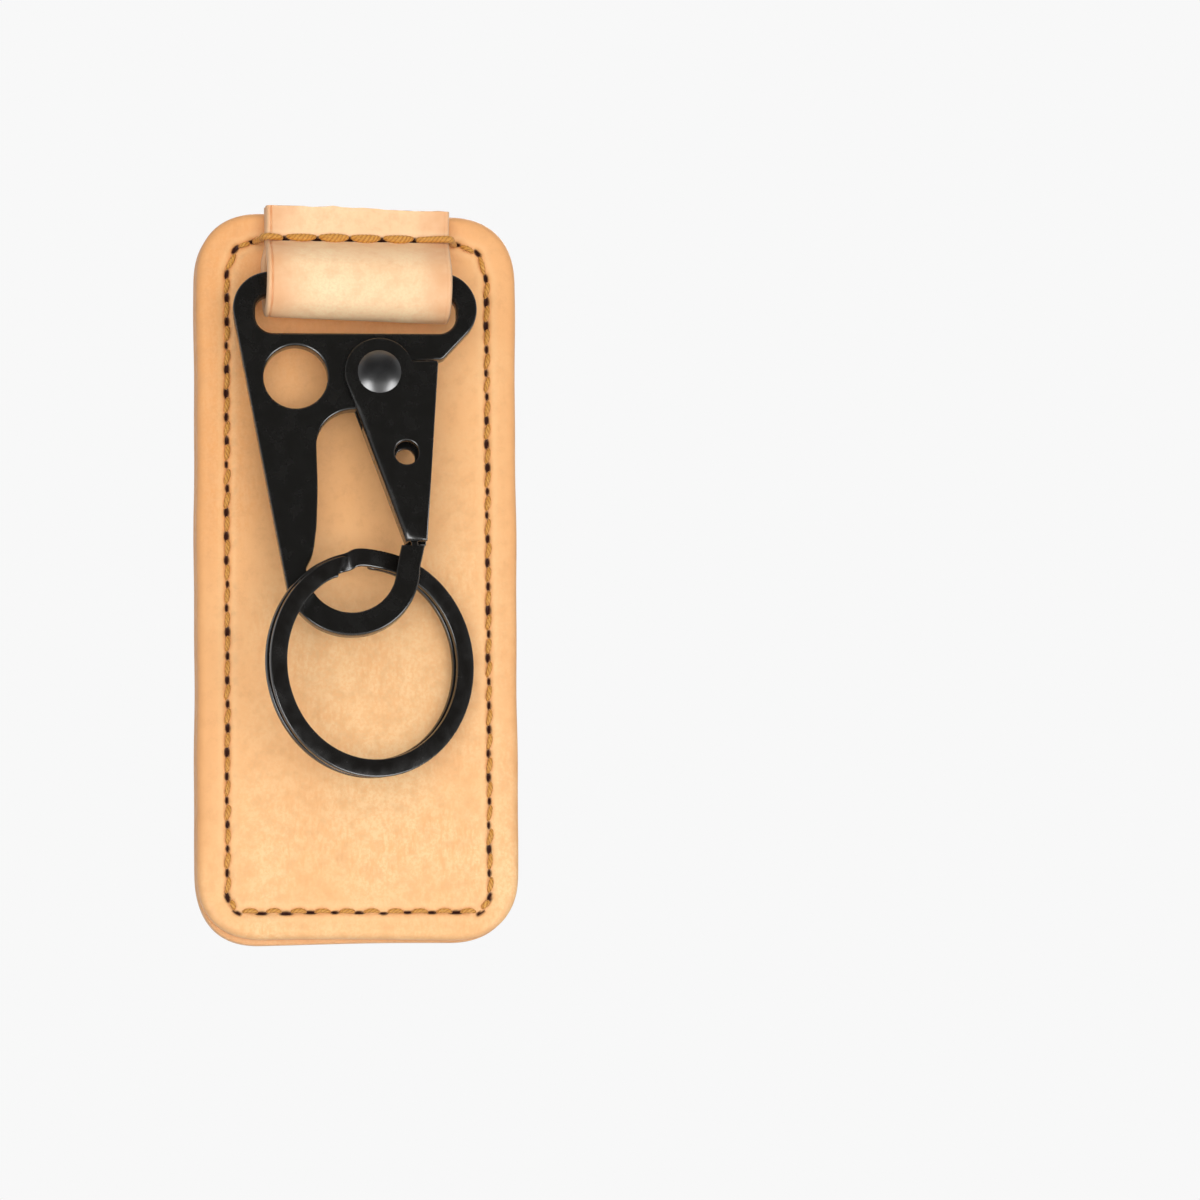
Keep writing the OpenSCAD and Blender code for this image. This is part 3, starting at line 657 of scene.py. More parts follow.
@dataclass
class LeatherPad:
    """The two sewn leather panels, with burnished edges."""

    seam: Seam
    thickness: float = PANEL_T
    corner: float = 9.0
    squareness: float = 2.35
    edge_round: float = 1.45
    spacing: float = 0.22
    foot: float = 0.75
    slit: tuple[float, float, float] = (-12.4, 10.1, 86.05)
    slit_dent: Dent = Dent(1.1, 0.55)
    grooves: tuple[Dent, Dent] = (Dent(0.22, 0.62), Dent(0.10, 1.7))
    hole_dents: tuple[Dent, Dent] = (Dent(0.60, 0.30), Dent(0.10, 0.8))
    leg_swell: float = 0.34
    pit_r: float = 0.24
    face_from: float = 1.0
    edge_lift: float = 0.42

    def outline(self, inset: float) -> np.ndarray:
        """Returns the pad's outline, drawn with an inset."""
        half, low, high = self.seam.pad_w / 2 - inset, inset, self.seam.pad_h - inset
        r = min(max(self.corner - inset, 0.02), half)
        steps = round(1.4 * self.corner / self.spacing)
        angles = np.linspace(0, math.pi / 2, steps + 1)
        bend = np.column_stack([np.cos(angles), np.sin(angles)]) ** (2 / self.squareness)
        sides = round((self.seam.pad_h - 2 * self.corner) / self.spacing)
        tops = round((self.seam.pad_w - 2 * self.corner) / self.spacing)
        right_top = np.array([half - r, high - r]) + r * bend
        up = np.column_stack([np.full(sides - 1, half), np.linspace(low + r, high - r, sides + 1)[1:-1]])
        over = np.column_stack([np.linspace(half - r, r - half, tops + 1)[1:-1], np.full(tops - 1, high)])
        left_top = (right_top * [-1, 1])[::-1]
        down = (up * [-1, 1])[::-1]
        left_low = np.array([r - half, low + r]) - r * bend
        under = (over * [-1, 0] + [0, low])
        right_low = (left_low * [-1, 1])[::-1]
        return np.vstack([right_top, over, left_top, down, left_low, under, right_low, up])

    def profile(self, face: Face) -> list[tuple[float, float, float]]:
        """Section of a panel from its joint round the edge and inwards.

        Args:
            face: the side of the pad.

        Returns:
            For each ring its inset, its depth from the face and the length of leather from the joint.
        """
        t, r = self.thickness, self.edge_round
        straight, joint = t - r, t - 0.02
        rings = [(1.8, joint, 3.4), (0.5, joint, 3.0), (0.14, joint, 1.4), (0.04, t - 0.12, 0.9),
                 (0.0, t - 0.4, 0.4), (0.0, (t + r) / 2, 0.9)]
        for a in np.radians(np.linspace(0, 90, 8)):
            rings.append((r * (1 - math.cos(a)), r * (1 - math.sin(a)), straight + r * a))
        inner = [1.8, 2.2, 2.6, 2.9, 3.15, 3.35, *(3.5 + 0.15 * k for k in range(8)),
                 4.75, 5.0, 5.3, 5.7, 6.2, 6.8, 7.6, 8.5, 9.5]
        inner += list(np.arange(10.4, 12.6, 0.2)) if face is Face.BACK else [10.5, 11.7]
        inner += [13.0, 14.5, 16.0, 17.5, 19.0, 20.3, 21.2, self.seam.pad_w / 2]
        full = straight + r * math.pi / 2 - r
        return rings + [(d, 0.0, full + d) for d in inner]

    def relief(self, places: np.ndarray, face: Face, inset: np.ndarray) -> tuple[np.ndarray, np.ndarray]:
        """How deep the face lies, and where painted shade darkens it in the needle holes and the slit.

        Args:
            places: places in the pad's plane.
            face: the side of the pad.
            inset: distance of each place from the outline.

        Returns:
            The depth in millimetres, and the share of painted hole shade from 0 to 1.
        """
        line = self.seam.line_distance(places)
        hole = self.seam.hole_reach(places, face)
        depth = sum(dent.at(line) for dent in self.grooves) + sum(dent.at(hole) for dent in self.hole_dents)
        # painted shade: darkens the needle holes, where light doesn't reach
        pit = 1 - smoothstep((hole - self.pit_r) / 0.14)
        x, z = places[:, 0], places[:, 1]
        depth += 0.05 * np.sin(0.21 * x + 0.6) * np.sin(0.13 * z + 0.4) * smoothstep((inset - 5) / 4)
        if face is Face.BACK:
            left, right, line_z = self.slit
            out = np.maximum(np.maximum(left - x, x - right), 0)
            slit = np.hypot(out * 1.5, (z - line_z) * 1.3)
            depth += self.slit_dent.at(slit)
            # painted shade in the slit where the clip's leg enters the back panel
            pit = np.maximum(pit, 1 - smoothstep((slit - 0.45) / 0.35))
            middle = (left + right) / 2
            flat = smoothstep((13.2 - np.abs(x - middle)) / 2.6)
            depth -= self.leg_swell * flat * smoothstep((line_z - z) / 2.2) * smoothstep((z - 58) / 6)
        return depth, pit

    def shape_edges(self, points: np.ndarray, inset: np.ndarray, face: Face) -> None:
        """Lets the edges wander, lifts the low edge and sets the back panel in its place.

        Args:
            points: the panel's points in the pad's frame, which it moves.
            inset: distance of each point from the outline.
            face: the side of the pad.
        """
        x, _, z = points.T.copy()
        near = 1 - smoothstep(inset / 3)
        wander = 0.10 * np.sin(z * 0.19 + 1.0) + 0.06 * np.sin(z * 0.43)
        points[:, 0] -= near * np.sign(x) * (0.5 * wander + 0.04)
        low = 1 - smoothstep((z - 1.0) / 9.0)
        points[:, 2] += near * low * (self.edge_lift + 0.10 * np.cos(x * 0.16 + 0.5))
        if face is Face.BACK:
            low = 1 - smoothstep((z - 1.0) / 8.0)
            points[:, 2] -= self.foot * near * low * (0.62 - 0.38 * np.tanh(x / 10))
            points[:, 1] = 2 * self.thickness - points[:, 1]

    def tints(self, places: np.ndarray, inset: np.ndarray, rim: np.ndarray,
              face: Face) -> dict[str, np.ndarray]:
        """Point values that the leather's finish reads.

        Args:
            places: places in the pad's plane.
            inset: distance of each place from the outline.
            rim: length of leather from the joint to each place.
            face: the side of the pad.

        Returns:
            The values by their names.
        """
        x, z = places.T
        front = face is Face.FRONT
        low_rim = 1 - smoothstep((z - 3.0) / 14.0)
        worn = self.seam.hole_reach(places + [-0.95, 0.55], Face.FRONT)
        high, aside, right = smoothstep((z - 28) / 40), smoothstep((-x - 12) / 6), smoothstep((x - 2) / 12)
        return {
            "rim": np.clip((rim + 2.8 * low_rim) / 6.0, 0, 1),
            "halo": bell(self.seam.line_distance(places) - 0.85, 0.45),
            "smudge": 0.55 * bell(worn, 0.5) * (x < -10),
            # painted shade: darker towards the top and the left, less on the right, partly the leather's own
            # tone
            "warm": np.clip((0.75 * high + 0.35 * aside) * (1 - 0.4 * right), 0, 1),
            "raw": (0.0 if front else 0.25) * low_rim * (1 - smoothstep(inset / 2))}

    def panel(self, face: Face, name: str) -> bpy.types.Object:
        """Builds one panel.

        Args:
            face: the side of the pad that it is.
            name: the piece's name.

        Returns:
            The panel.
        """
        profile = self.profile(face)
        flats = [self.outline(ring_inset) for ring_inset, _, _ in profile]
        rings = np.array([np.column_stack([flat[:, 0], np.full(len(flat), ring_depth), flat[:, 1]])
                          for flat, (_, ring_depth, _) in zip(flats, profile)])
        inset, _, rim = (np.repeat(column, rings.shape[1]) for column in zip(*profile))
        points = rings.reshape(-1, 3).copy()
        places = points[:, [0, 2]].copy()
        depth, pit = self.relief(places, face, inset)
        points[:, 1] += depth * smoothstep((inset - self.face_from) / 1.4)
        self.shape_edges(points, inset, face)
        joint = np.repeat([0.04 <= p[0] < 0.3 and p[1] > 3 for p in profile], rings.shape[1])
        maker = MeshMaker()
        maker.loft(on_pad(points).reshape(rings.shape), caps=False, pit=pit,
                   crease=joint * (0.7 if face is Face.FRONT else 0.175),
                   **self.tints(places, inset, rim, face))
        return maker.build(name, merge=0.004)

    def build(self, wardrobe: Wardrobe) -> None:
        """Builds both panels and puts them on the pad's body."""
        for face, name in ((Face.FRONT, "front_panel"), (Face.BACK, "back_panel")):
            piece = self.panel(face, name + "_leather")
            wardrobe.dress(piece, Coat.PAD)
            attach(piece, "pad")
            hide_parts(name)


@dataclass
class StrapLoop:
    """One leather strap, folded round the crossbar and sewn down in two layers."""

    seam: Seam
    thickness: float = 1.6
    top: float = 98.0
    bend_r: float = 3.8
    skew: float = 0.32
    edge_r: float = 0.42
    front_layer: float = 7.6
    loop_shift: float = 0.45
    crease_inset: float = 0.72
    pit_r: float = 0.40
    hole_squeeze: float = 0.62
    hole_drop: float = 0.20
    line_dents: tuple[Dent, Dent] = (Dent(0.16, 0.6), Dent(0.12, 1.6))
    hole_dent: Dent = Dent(0.7, 0.36)
    crease_dent: Dent = Dent(0.16, 0.12)

    def __post_init__(self) -> None:
        """Takes the strap's sides from the seam."""
        self.left, self.right = self.seam.strap_left, self.seam.strap_right

    def centre_line(self) -> np.ndarray:
        """Returns the strap's middle line from the back layer's end to the front layer's, in y and z."""
        t = self.thickness
        back = [[-t / 2, self.top], [-t / 2, 95.5], [-t / 2, 93.2], [-t / 2 - 0.06, 91.5],
                [-t / 2 - 0.26, 89.6]]
        turn = [list(p) for p in arc(CROSSBAR[1:], self.bend_r, 0, -180, 13)]
        front = [[-8.56, 88.3], [-8.02, 89.5], [-7.00, 90.5], [-5.56, 91.3], [-4.10, 91.95], [-3.10, 92.45],
                 [-1.5 * t - 0.10, 92.95], [-1.5 * t, 93.8], [-1.5 * t, 95.4], [-1.5 * t, self.top]]
        return smooth_path(np.array(back + turn + front), 0.22)

    def section(self, count: int) -> tuple[np.ndarray, np.ndarray]:
        """Section across the strap.

        Args:
            count: number of steps across each face.

        Returns:
            The place across the strap and the place through its thickness, from -1 to 1, round the section.
        """
        r = self.edge_r
        fine = np.arange(0.0, 1.0, 0.07)
        middle = np.linspace(self.left + r + 1.0, self.right - r - 1.0, count)
        across = np.concatenate([self.left + r + fine, middle, (self.right - r - fine)[::-1]])
        count = len(across)
        bend = np.radians(np.linspace(90, -90, 9))[1:-1]
        right_x = self.right - r + r * np.cos(bend)
        left_x = self.left + r - r * np.cos(bend)
        round_share = np.sin(bend)
        x = np.concatenate([across, right_x, across[::-1], left_x])
        through = np.concatenate([np.ones(count), round_share, -np.ones(count), -round_share])
        return x, through

    def ragged_end(self, x: np.ndarray) -> np.ndarray:
        """Returns how far the cut ends stand up or down, at each place across the strap."""
        waves = 0.05 * np.sin(0.55 * x + 1.3) + 0.03 * np.sin(1.37 * x) + 0.02 * np.sin(3.1 * x + 0.4)
        return waves + 0.16 * bell(x + 3.6, 1.1) - 0.40 * smoothstep((x + 8) / 20)

    def mesh(self) -> bpy.types.Object:
        """Builds the strap as one sheet."""
        path = self.centre_line()
        x, through = self.section(88)
        walked, forward = walk(path), heading(path)
        out = np.column_stack([-forward[:, 1], forward[:, 0]])
        rings = np.zeros((len(path), len(x), 3))
        pit, halo, crease_share = (np.zeros(rings.shape[:2]) for _ in range(3))
        edge = np.minimum(x - self.left, self.right - x)
        rim = np.tile(np.clip((edge * 0.95 + 0.35) / 6, 0, 1), (len(path), 1))
        raw = np.tile(1 - smoothstep((edge - 0.12) / 0.25), (len(path), 1))
        ragged = self.ragged_end(x)
        for i, (p, n, gone) in enumerate(zip(path, out, walked)):
            low, end = smoothstep((93.0 - p[1]) / 3.0), smoothstep((p[1] - self.top + 2.2) / 2.2)
            z = p[1] - low * self.skew * ((x - self.left) / 12.0 - 0.6) + end * (ragged - 0.10)
            offset = through * (self.thickness / 2)
            if walked[-1] - gone < self.front_layer:
                line = np.abs(z - self.seam.top)
                hole = self.strap_reach(np.column_stack([x, z]))
                dent = sum(d.at(line) for d in self.line_dents) + self.hole_dent.at(hole)
                offset = np.where(through > 0, offset - dent, offset)
                # painted shade in the strap's needle holes
                pit[i] = (1 - smoothstep((hole - self.pit_r) / 0.10)) * (through > 0)
                halo[i] = bell(line - 0.8, 0.4)
            off_crease = edge - self.crease_inset - 0.03 * math.sin(gone)
            crease = bell(off_crease, self.crease_dent.reach) * (through > 0.5)
            crease *= np.where(x < 0, 1.0, 0.25)
            offset = offset - self.crease_dent.depth * crease
            crease_share[i] = crease * (0.75 + 0.25 * math.sin(2.3 * gone))
            across = x + 0.03 * math.sin(gone * 0.55) - self.loop_shift * low
            rings[i] = np.column_stack([across, p[0] + n[0] * offset, z + n[1] * offset])
        maker = MeshMaker()
        maker.loft(on_pad(rings), rim=rim, pit=pit, halo=halo, smudge=np.zeros_like(pit), crease=crease_share,
                   raw=raw, warm=np.zeros_like(pit))
        return maker.build("strap_leather")

    def strap_reach(self, places: np.ndarray) -> np.ndarray:
        """Returns the distance of each place to the nearest hole in the strap."""
        best = np.full(len(places), 1e9)
        for hole in filter(self.seam.on_strap, self.seam.holes):
            across, up = (places - hole).T
            best = np.minimum(best, np.hypot(across * self.hole_squeeze, up + self.hole_drop))
        return best

    def build(self, wardrobe: Wardrobe) -> None:
        """Builds the strap in place as one sheet."""
        piece = wardrobe.dress(self.mesh(), Coat.STRAP)
        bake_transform(piece)
        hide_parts("strap_anchor", "strap_loop")


@dataclass(frozen=True)
class StitchStyle:
    """How a stitch lies, in millimetres.

    Its fields are half its width, the depth of its face, the distance from each hole to its end, how far
    its middle arches up along the pad, the width of its ends as a share of its middle, and how deep its
    ends go under the face.
    """

    radius: float
    level: float
    gap: float = 0.42
    lift: float = 0.0
    taper: float = 0.42
    dip: float = 0.55


@dataclass
class Stitching:
    """The two rows of plump twisted stitches, one on each face."""

    seam: Seam
    side: StitchStyle = StitchStyle(0.34, 0.02, gap=0.60)
    low: StitchStyle = StitchStyle(0.31, 0.02, gap=0.60, lift=0.16)
    strap: StitchStyle = StitchStyle(0.56, -3.28, gap=0.24, lift=-0.26, taper=0.38, dip=0.3)
    behind: StitchStyle = StitchStyle(0.37, PAD_BACK - 0.06)
    behind_again: StitchStyle = StitchStyle(0.32, PAD_BACK + 0.05, gap=0.4)
    over_radius: float = 0.46
    strap_rise: float = 0.26
    again_rise: float = 0.42
    strap_face: float = -3.2
    plies: int = 4
    rounds: int = 20
    lay: float = 2.25
    flatness: float = 0.8
    dice: random.Random = field(default_factory=lambda: random.Random(11))

    def cord(self, maker: MeshMaker, path: np.ndarray, radius: float, out: Sequence[float],
             taper: float) -> None:
        """Adds one twisted cord.

        Args:
            maker: the mesh to add it to.
            path: its middle line, in the pad's frame.
            radius: half its width.
            out: direction away from the leather.
            taper: width of its ends as a share of its middle.
        """
        forward, walked = heading(path), walk(path)
        side = unit_rows(np.cross(forward, out))
        up = np.cross(side, forward)
        turn = np.linspace(0, 2 * math.pi, self.rounds, endpoint=False)
        phase = self.dice.uniform(0, 2 * math.pi)
        rings, plies = [], []
        for p, gone, across, rise in zip(path, walked, side, up):
            fat = taper + (1 - taper) * math.sin(math.pi * min(gone / walked[-1], 1.0)) ** 0.7
            wave = np.cos(self.plies * (turn - phase - 2 * math.pi * gone / self.lay))
            r = radius * fat * (1 + 0.06 * wave)
            round_up = self.flatness * r * np.sin(turn)
            rings.append(p + np.outer(r * np.cos(turn), across) + np.outer(round_up, rise))
            plies.append(0.5 + 0.5 * wave)
        maker.loft(on_pad(rings), ply=np.array(plies))

    def stitch(self, maker: MeshMaker, a: np.ndarray, b: np.ndarray, style: StitchStyle, face: Face) -> None:
        """Adds one stitch that lies on a face.

        Args:
            maker: the mesh to add it to.
            a: first needle hole.
            b: second needle hole.
            style: how it lies.
            face: the side of the pad.
        """
        length = np.linalg.norm(b - a)
        along = (b - a) / length
        way = 1 if along[1] < 0 else -1
        across = np.array([along[1], -along[0]]) * way
        lean = self.dice.uniform(0.06, 0.24) * abs(along[1])
        start, end = (style.gap + self.dice.uniform(-0.06, 0.08) for _ in range(2))
        shares = np.array([0.0, 0.10, 0.22, 0.36, 0.5, 0.64, 0.78, 0.90, 1.0])
        half = [style.dip, 0.36 * style.dip, 0.0, -0.10]
        heights = np.array(half + [-0.13] + half[::-1])
        arch = np.sin(math.pi * shares)
        bow = self.dice.uniform(-0.05, 0.05) * arch
        flat = a + np.outer(start + (length - start - end) * shares, along)
        flat += np.outer(lean * way * (2 * shares - 1) + bow, across)
        flat[:, 1] += style.lift * np.abs(arch) ** 0.7
        path = np.column_stack([flat[:, 0], style.level + face.value * heights, flat[:, 1]])
        self.cord(maker, smooth_path(path, 0.11), style.radius * self.dice.uniform(0.92, 1.08),
                  (0.0, -face.value, 0.0), style.taper)

    def over_side(self, maker: MeshMaker, pad_hole: np.ndarray, strap_hole: np.ndarray) -> None:
        """Adds the run that climbs from a hole in the pad over the strap's side to a hole in the strap."""
        way = 1 if strap_hole[0] > pad_hole[0] else -1
        side = self.seam.strap_left if way > 0 else self.seam.strap_right
        z, face = self.seam.top, self.strap_face
        path = np.array([[pad_hole[0] + way * 0.15, 0.5, pad_hole[1] - 0.05],
                         [pad_hole[0] + way * 0.4, -0.15, z],
                         [side - way * 0.42, -1.5, z + 0.05], [side - way * 0.30, -2.9, z + 0.1],
                         [side + way * 0.35, face - 0.32, z + 0.12],
                         [(side + strap_hole[0]) / 2, face - 0.16, z + 0.08],
                         [strap_hole[0] - way * 0.75, face - 0.05, z + 0.02],
                         [strap_hole[0] - way * 0.45, face + 0.35, z]])
        self.cord(maker, smooth_path(path, 0.13), self.over_radius, (0.0, -1.0, 0.0), 0.75)

    def tops(self) -> bpy.types.Object:
        """Builds the golden stitches of the front."""
        maker = MeshMaker()
        rise = np.array([0.0, self.strap_rise])
        for a, b in zip(self.seam.holes, np.roll(self.seam.holes, -1, axis=0)):
            up_a, up_b = self.seam.on_strap(a), self.seam.on_strap(b)
            if up_a and up_b:
                self.stitch(maker, a + rise, b + rise, self.strap, Face.FRONT)
            elif up_a or up_b:
                self.over_side(maker, b if up_a else a, a if up_a else b)
            else:
                low = max(a[1], b[1]) < self.seam.inset + 0.1
                self.stitch(maker, a, b, self.low if low else self.side, Face.FRONT)
        return maker.build("top_stitches")

    def bobbins(self) -> bpy.types.Object:
        """Builds the pale stitches of the back, with the top row sewn twice."""
        maker = MeshMaker()
        rise = np.array([0.0, self.again_rise])
        for a, b in zip(self.seam.holes, np.roll(self.seam.holes, -1, axis=0)):
            self.stitch(maker, a, b, self.behind, Face.BACK)
            if min(a[1], b[1]) > self.seam.top - 0.2:
                self.stitch(maker, a + rise, b + rise * 0.6, self.behind_again, Face.BACK)
        return maker.build("bobbin_stitches")

    def build(self, wardrobe: Wardrobe) -> None:
        """Builds both threads on the pad's body."""
        for piece, coat in ((self.tops(), Coat.TOP_THREAD), (self.bobbins(), Coat.BOBBIN)):
            wardrobe.dress(piece, coat)
            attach(piece, "pad")
            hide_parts(coat.value)


@dataclass
class HookPlace:
    """Where the hook's own frame lies: x to the right, z up along the plate, from the crossbar's middle."""

    bar: tuple[float, float, float] = CROSSBAR
    lean: float = 4.5
    yaw: float = 4.0

    def __post_init__(self) -> None:
        """Works out the matrix."""
        aside, out = (Matrix.Rotation(math.radians(-angle), 3, axis)
                      for angle, axis in ((self.yaw, "Z"), (self.lean, "X")))
        self.turn = np.array(aside @ out)

    def place(self, points: np.ndarray) -> np.ndarray:
        """Returns points of the hook's frame, in millimetres, as points in metres."""
        return on_pad(np.asarray(points, float) @ self.turn.T + np.array(self.bar))


def outward(loop: np.ndarray) -> np.ndarray:
    """Returns the mitred outward normal at each point of a closed loop that runs anticlockwise."""
    ahead = unit_rows(np.roll(loop, -1, axis=0) - loop)
    normal = np.column_stack([ahead[:, 1], -ahead[:, 0]])
    before = np.roll(normal, 1, axis=0)
    return (normal + before) / (1 + np.sum(normal * before, axis=1))[:, None]


def anticlockwise(loop: Loop) -> np.ndarray:
    """Returns a loop without repeated points, running anticlockwise."""
    points = np.array(loop)
    points = points[np.linalg.norm(points - np.roll(points, 1, axis=0), axis=1) > 1e-4]
    x, y = points.T
    area = np.sum(x * np.roll(y, -1) - np.roll(x, -1) * y)
    return points if area > 0 else points[::-1]


@dataclass
class PlateMaker:
    """Builds flat plates with rounded rims and round-edged holes in the hook's frame."""

    spot: HookPlace
    segments: int = 4
    flat_rim: float = 0.05

    def rim_rings(self, loop: np.ndarray, front: float, back: float, front_r: np.ndarray,
                  back_r: np.ndarray, sense: float, deep: float = 1.0) -> np.ndarray:
        """Rings of points from the front face round the rim to the back face.

        Args:
            loop: the rim seen from the front.
            front: depth of the front face.
            back: depth of the back face.
            front_r: rounding at each point of the front rim.
            back_r: rounding at each point of the back rim.
            sense: 1 for an outer rim and -1 for a hole.
            deep: depth of the front rounding as a share of its width.

        Returns:
            The rings in the hook's frame.
        """
        normal = outward(loop) * sense
        rows = [(front_r + self.flat_rim, np.full(len(loop), front))]
        for a in np.radians(np.linspace(0, 90, self.segments + 1)):
            rows.append((front_r * (1 - math.sin(a)), front + deep * front_r * (1 - math.cos(a))))
        for a in np.radians(np.linspace(90, 0, self.segments + 1)):
            rows.append((back_r * (1 - math.sin(a)), back - back_r * (1 - math.cos(a))))
        rows.append((back_r + self.flat_rim, np.full(len(loop), back)))
        rings = []
        for inset, depth in rows:
            flat = loop - normal * np.asarray(inset)[:, None]
            rings.append(np.column_stack([flat[:, 0], depth, flat[:, 1]]))
        return np.array(rings)

    def plate(self, maker: MeshMaker, outer: np.ndarray, holes: Sequence[np.ndarray], front: float,
              back: float, front_r: object = 0.2, back_r: object = 0.2, hole_r: float = 0.25,
              deep: float = 1.0) -> None:
        """Adds one plate.

        Args:
            maker: the mesh to add it to.
            outer: its outline.
            holes: the outlines of its holes.
            front: depth of the front face.
            back: depth of the back face.
            front_r: rounding of the front rim, one value or one for each point.
            back_r: rounding of the back rim, likewise.
            hole_r: rounding of the holes' rims.
            deep: depth of the front rounding as a share of its width.
        """
        loops, firsts = [outer, *holes], []
        for k, loop in enumerate(loops):
            ones, rim = np.ones(len(loop)), k == 0
            sizes = (front_r, back_r) if rim else (hole_r, hole_r * 0.6)
            rings = self.rim_rings(loop, front, back, ones * sizes[0], ones * sizes[1], 1.0 if rim else -1.0,
                                   deep if rim else 1.0)
            firsts.append((maker.count, rings))
            maker.loft(self.spot.place(rings), caps=False)
        for row in (0, -1):
            flat = [[Vector((p[0], p[2], 0)) for p in rings[row]] for _, rings in firsts]
            ids = []
            for first, rings in firsts:
                start = first + (0 if row == 0 else (len(rings) - 1) * rings.shape[1])
                ids += list(range(start, start + rings.shape[1]))
            maker.faces += [tuple(ids[i] for i in face) for face in tessellate_polygon(flat)]


@dataclass
class SnapHook:
    """The black hook plate, its folded gate, the rivet and the gate's spring."""

    spot: HookPlace = field(default_factory=HookPlace)
    plate_t: float = 2.3
    crossbar_h: float = 3.2
    slot_left: float = 14.2
    slot_right: float = 12.5
    slot_h: float = 5.15
    slot_r: float = 2.4
    slot_top_r: float = 1.9
    shoulder_r: float = 4.95
    shoulder_in: Pair = (2.0, 2.2)
    lanyard_c: Pair = (-8.9, -12.7)
    lanyard_d: float = 8.5
    eye_c: Pair = (-1.7, -38.4)
    eye_r: float = 5.95
    bar_w: float = 3.1
    rivet_c: Pair = (2.15, -12.2)
    rivet_d: float = 3.6
    head_d: float = 5.7
    head_h: float = 1.0
    tail_r: float = 2.6
    tail_h: float = 0.7
    lug_r: float = 4.45
    throat_c: Pair = (-1.3, -22.0)
    throat_r: float = 4.9
    leg_shares: tuple[Pair, ...] = ((0.50, 0.09), (0.72, 0.17), (0.85, 0.26), (0.96, 0.34), (1.04, 0.50),
                                    (1.08, 0.69))
    nose: Pair = (0.7, 3.1)
    tongue: tuple[Pair, ...] = ((2.20, 0.0), (1.70, 2.5), (0.80, 2.6), (1.30, 0.0))
    beak_tip: Pair = (10.75, -10.1)
    beak_h: float = 0.2
    beak_blunt: float = 0.45
    gate_r: float = 4.6
    gate_sheet: float = 0.9
    gate_out: float = 2.25
    gate_tip_w: float = 2.8
    cord_c: Pair = (5.66, -23.1)
    cord_d: float = 3.2
    gate_rim: float = 0.30
    beak_gap: float = 0.35
    fold_r: float = 1.05
    fold_deep: float = 0.86
    web_top: float = -19.5
    spring_r: float = 2.45
    spring_wire: float = 0.35
    spring_leg: float = 8.1
    spring_turns: float = 1.5
    spring_pitch: float = 0.8

    def __post_init__(self) -> None:
        """Works out the places that the outline and the gate share."""
        half = self.crossbar_h / 2
        self.left_c = np.array([-self.slot_left + self.shoulder_in[0], half - self.shoulder_r])
        self.right_c = np.array([self.slot_right - self.shoulder_in[1], half - self.shoulder_r])
        self.eye = np.array(self.eye_c)
        self.out_r = self.eye_r + self.bar_w
        self.rivet = np.array(self.rivet_c)
        self.nose_left = self.eye + [self.eye_r + self.nose[0], self.nose[1]]
        self.nose_right = self.nose_left + [self.bar_w, 0]
        self.elbow = np.array([self.out_r + 0.3, 1.1])
        self.tip = self.nose_left + [0.55, 0.4]
        self.plates = PlateMaker(self.spot)

    def frame_outline(self) -> np.ndarray:
        """Returns the plate's outline, from the left shoulder down the leg, round the eye and back."""
        r = self.shoulder_r
        elbow = self.eye - self.elbow
        beak, floor = np.array(self.beak_tip), self.beak_tip[1] - self.beak_h
        eye_left, throat = self.eye - [self.eye_r, 0], np.array(self.throat_c)
        throat_left = throat - [self.throat_r, 0]
        floor_angle = math.degrees(math.asin((floor - self.rivet[1]) / self.lug_r))
        loop = arc(self.left_c, r, 90, touch_angle(self.left_c, r, elbow, -1) + 360, 40)
        loop += arc(self.eye, self.out_r, touch_angle(self.eye, self.out_r, elbow, 1) + 360, 360, 64)
        loop += [self.nose_right, *(self.nose_left + step for step in self.tongue), self.nose_left]
        loop += arc(self.eye, self.eye_r, 360, 180, 56)
        bends = [eye_left + (throat_left - eye_left) * share for share in self.leg_shares]
        loop += list(smooth_path(np.array([eye_left, *bends, throat_left]), 0.6)[1:-1])
        loop += arc(throat, self.throat_r, 180, 90, 24)
        loop += arc(self.rivet, self.lug_r, -90, floor_angle, 24)
        loop += [np.array([beak[0] - self.beak_blunt, floor]), beak]
        loop += arc(self.right_c, r, touch_angle(self.right_c, r, beak, 1), 90, 40)
        return anticlockwise(loop)

    def slot_outline(self) -> np.ndarray:
        """Returns the outline of the slot that the strap passes through."""
        top, r, top_r = -self.crossbar_h / 2, self.slot_r, self.slot_top_r
        low, left, right = top - self.slot_h, -self.slot_left, self.slot_right
        loop = arc((left + top_r, top - top_r), top_r, 180, 90, 12)
        loop += arc((right - top_r, top - top_r), top_r, 90, 0, 12)
        loop += arc((right - r, low + r), r, 0, -90, 14)
        loop += arc((left + r, low + r), r, -90, -180, 14)
        return anticlockwise(loop)

    def circle(self, centre: Sequence[float], diameter: float, count: int = 72) -> np.ndarray:
        """Returns a round hole's outline."""
        return anticlockwise(arc(centre, diameter / 2, 0, 360, count)[:-1])

    def frame(self) -> bpy.types.Object:
        """Builds the hook's plate."""
        maker = MeshMaker()
        half = self.plate_t / 2
        holes = [self.slot_outline(), self.circle(self.lanyard_c, self.lanyard_d)]
        self.plates.plate(maker, self.frame_outline(), holes, -half, half, 0.32, 0.2, 0.40)
        return maker.build("hook_plate", smooth_angle=50)

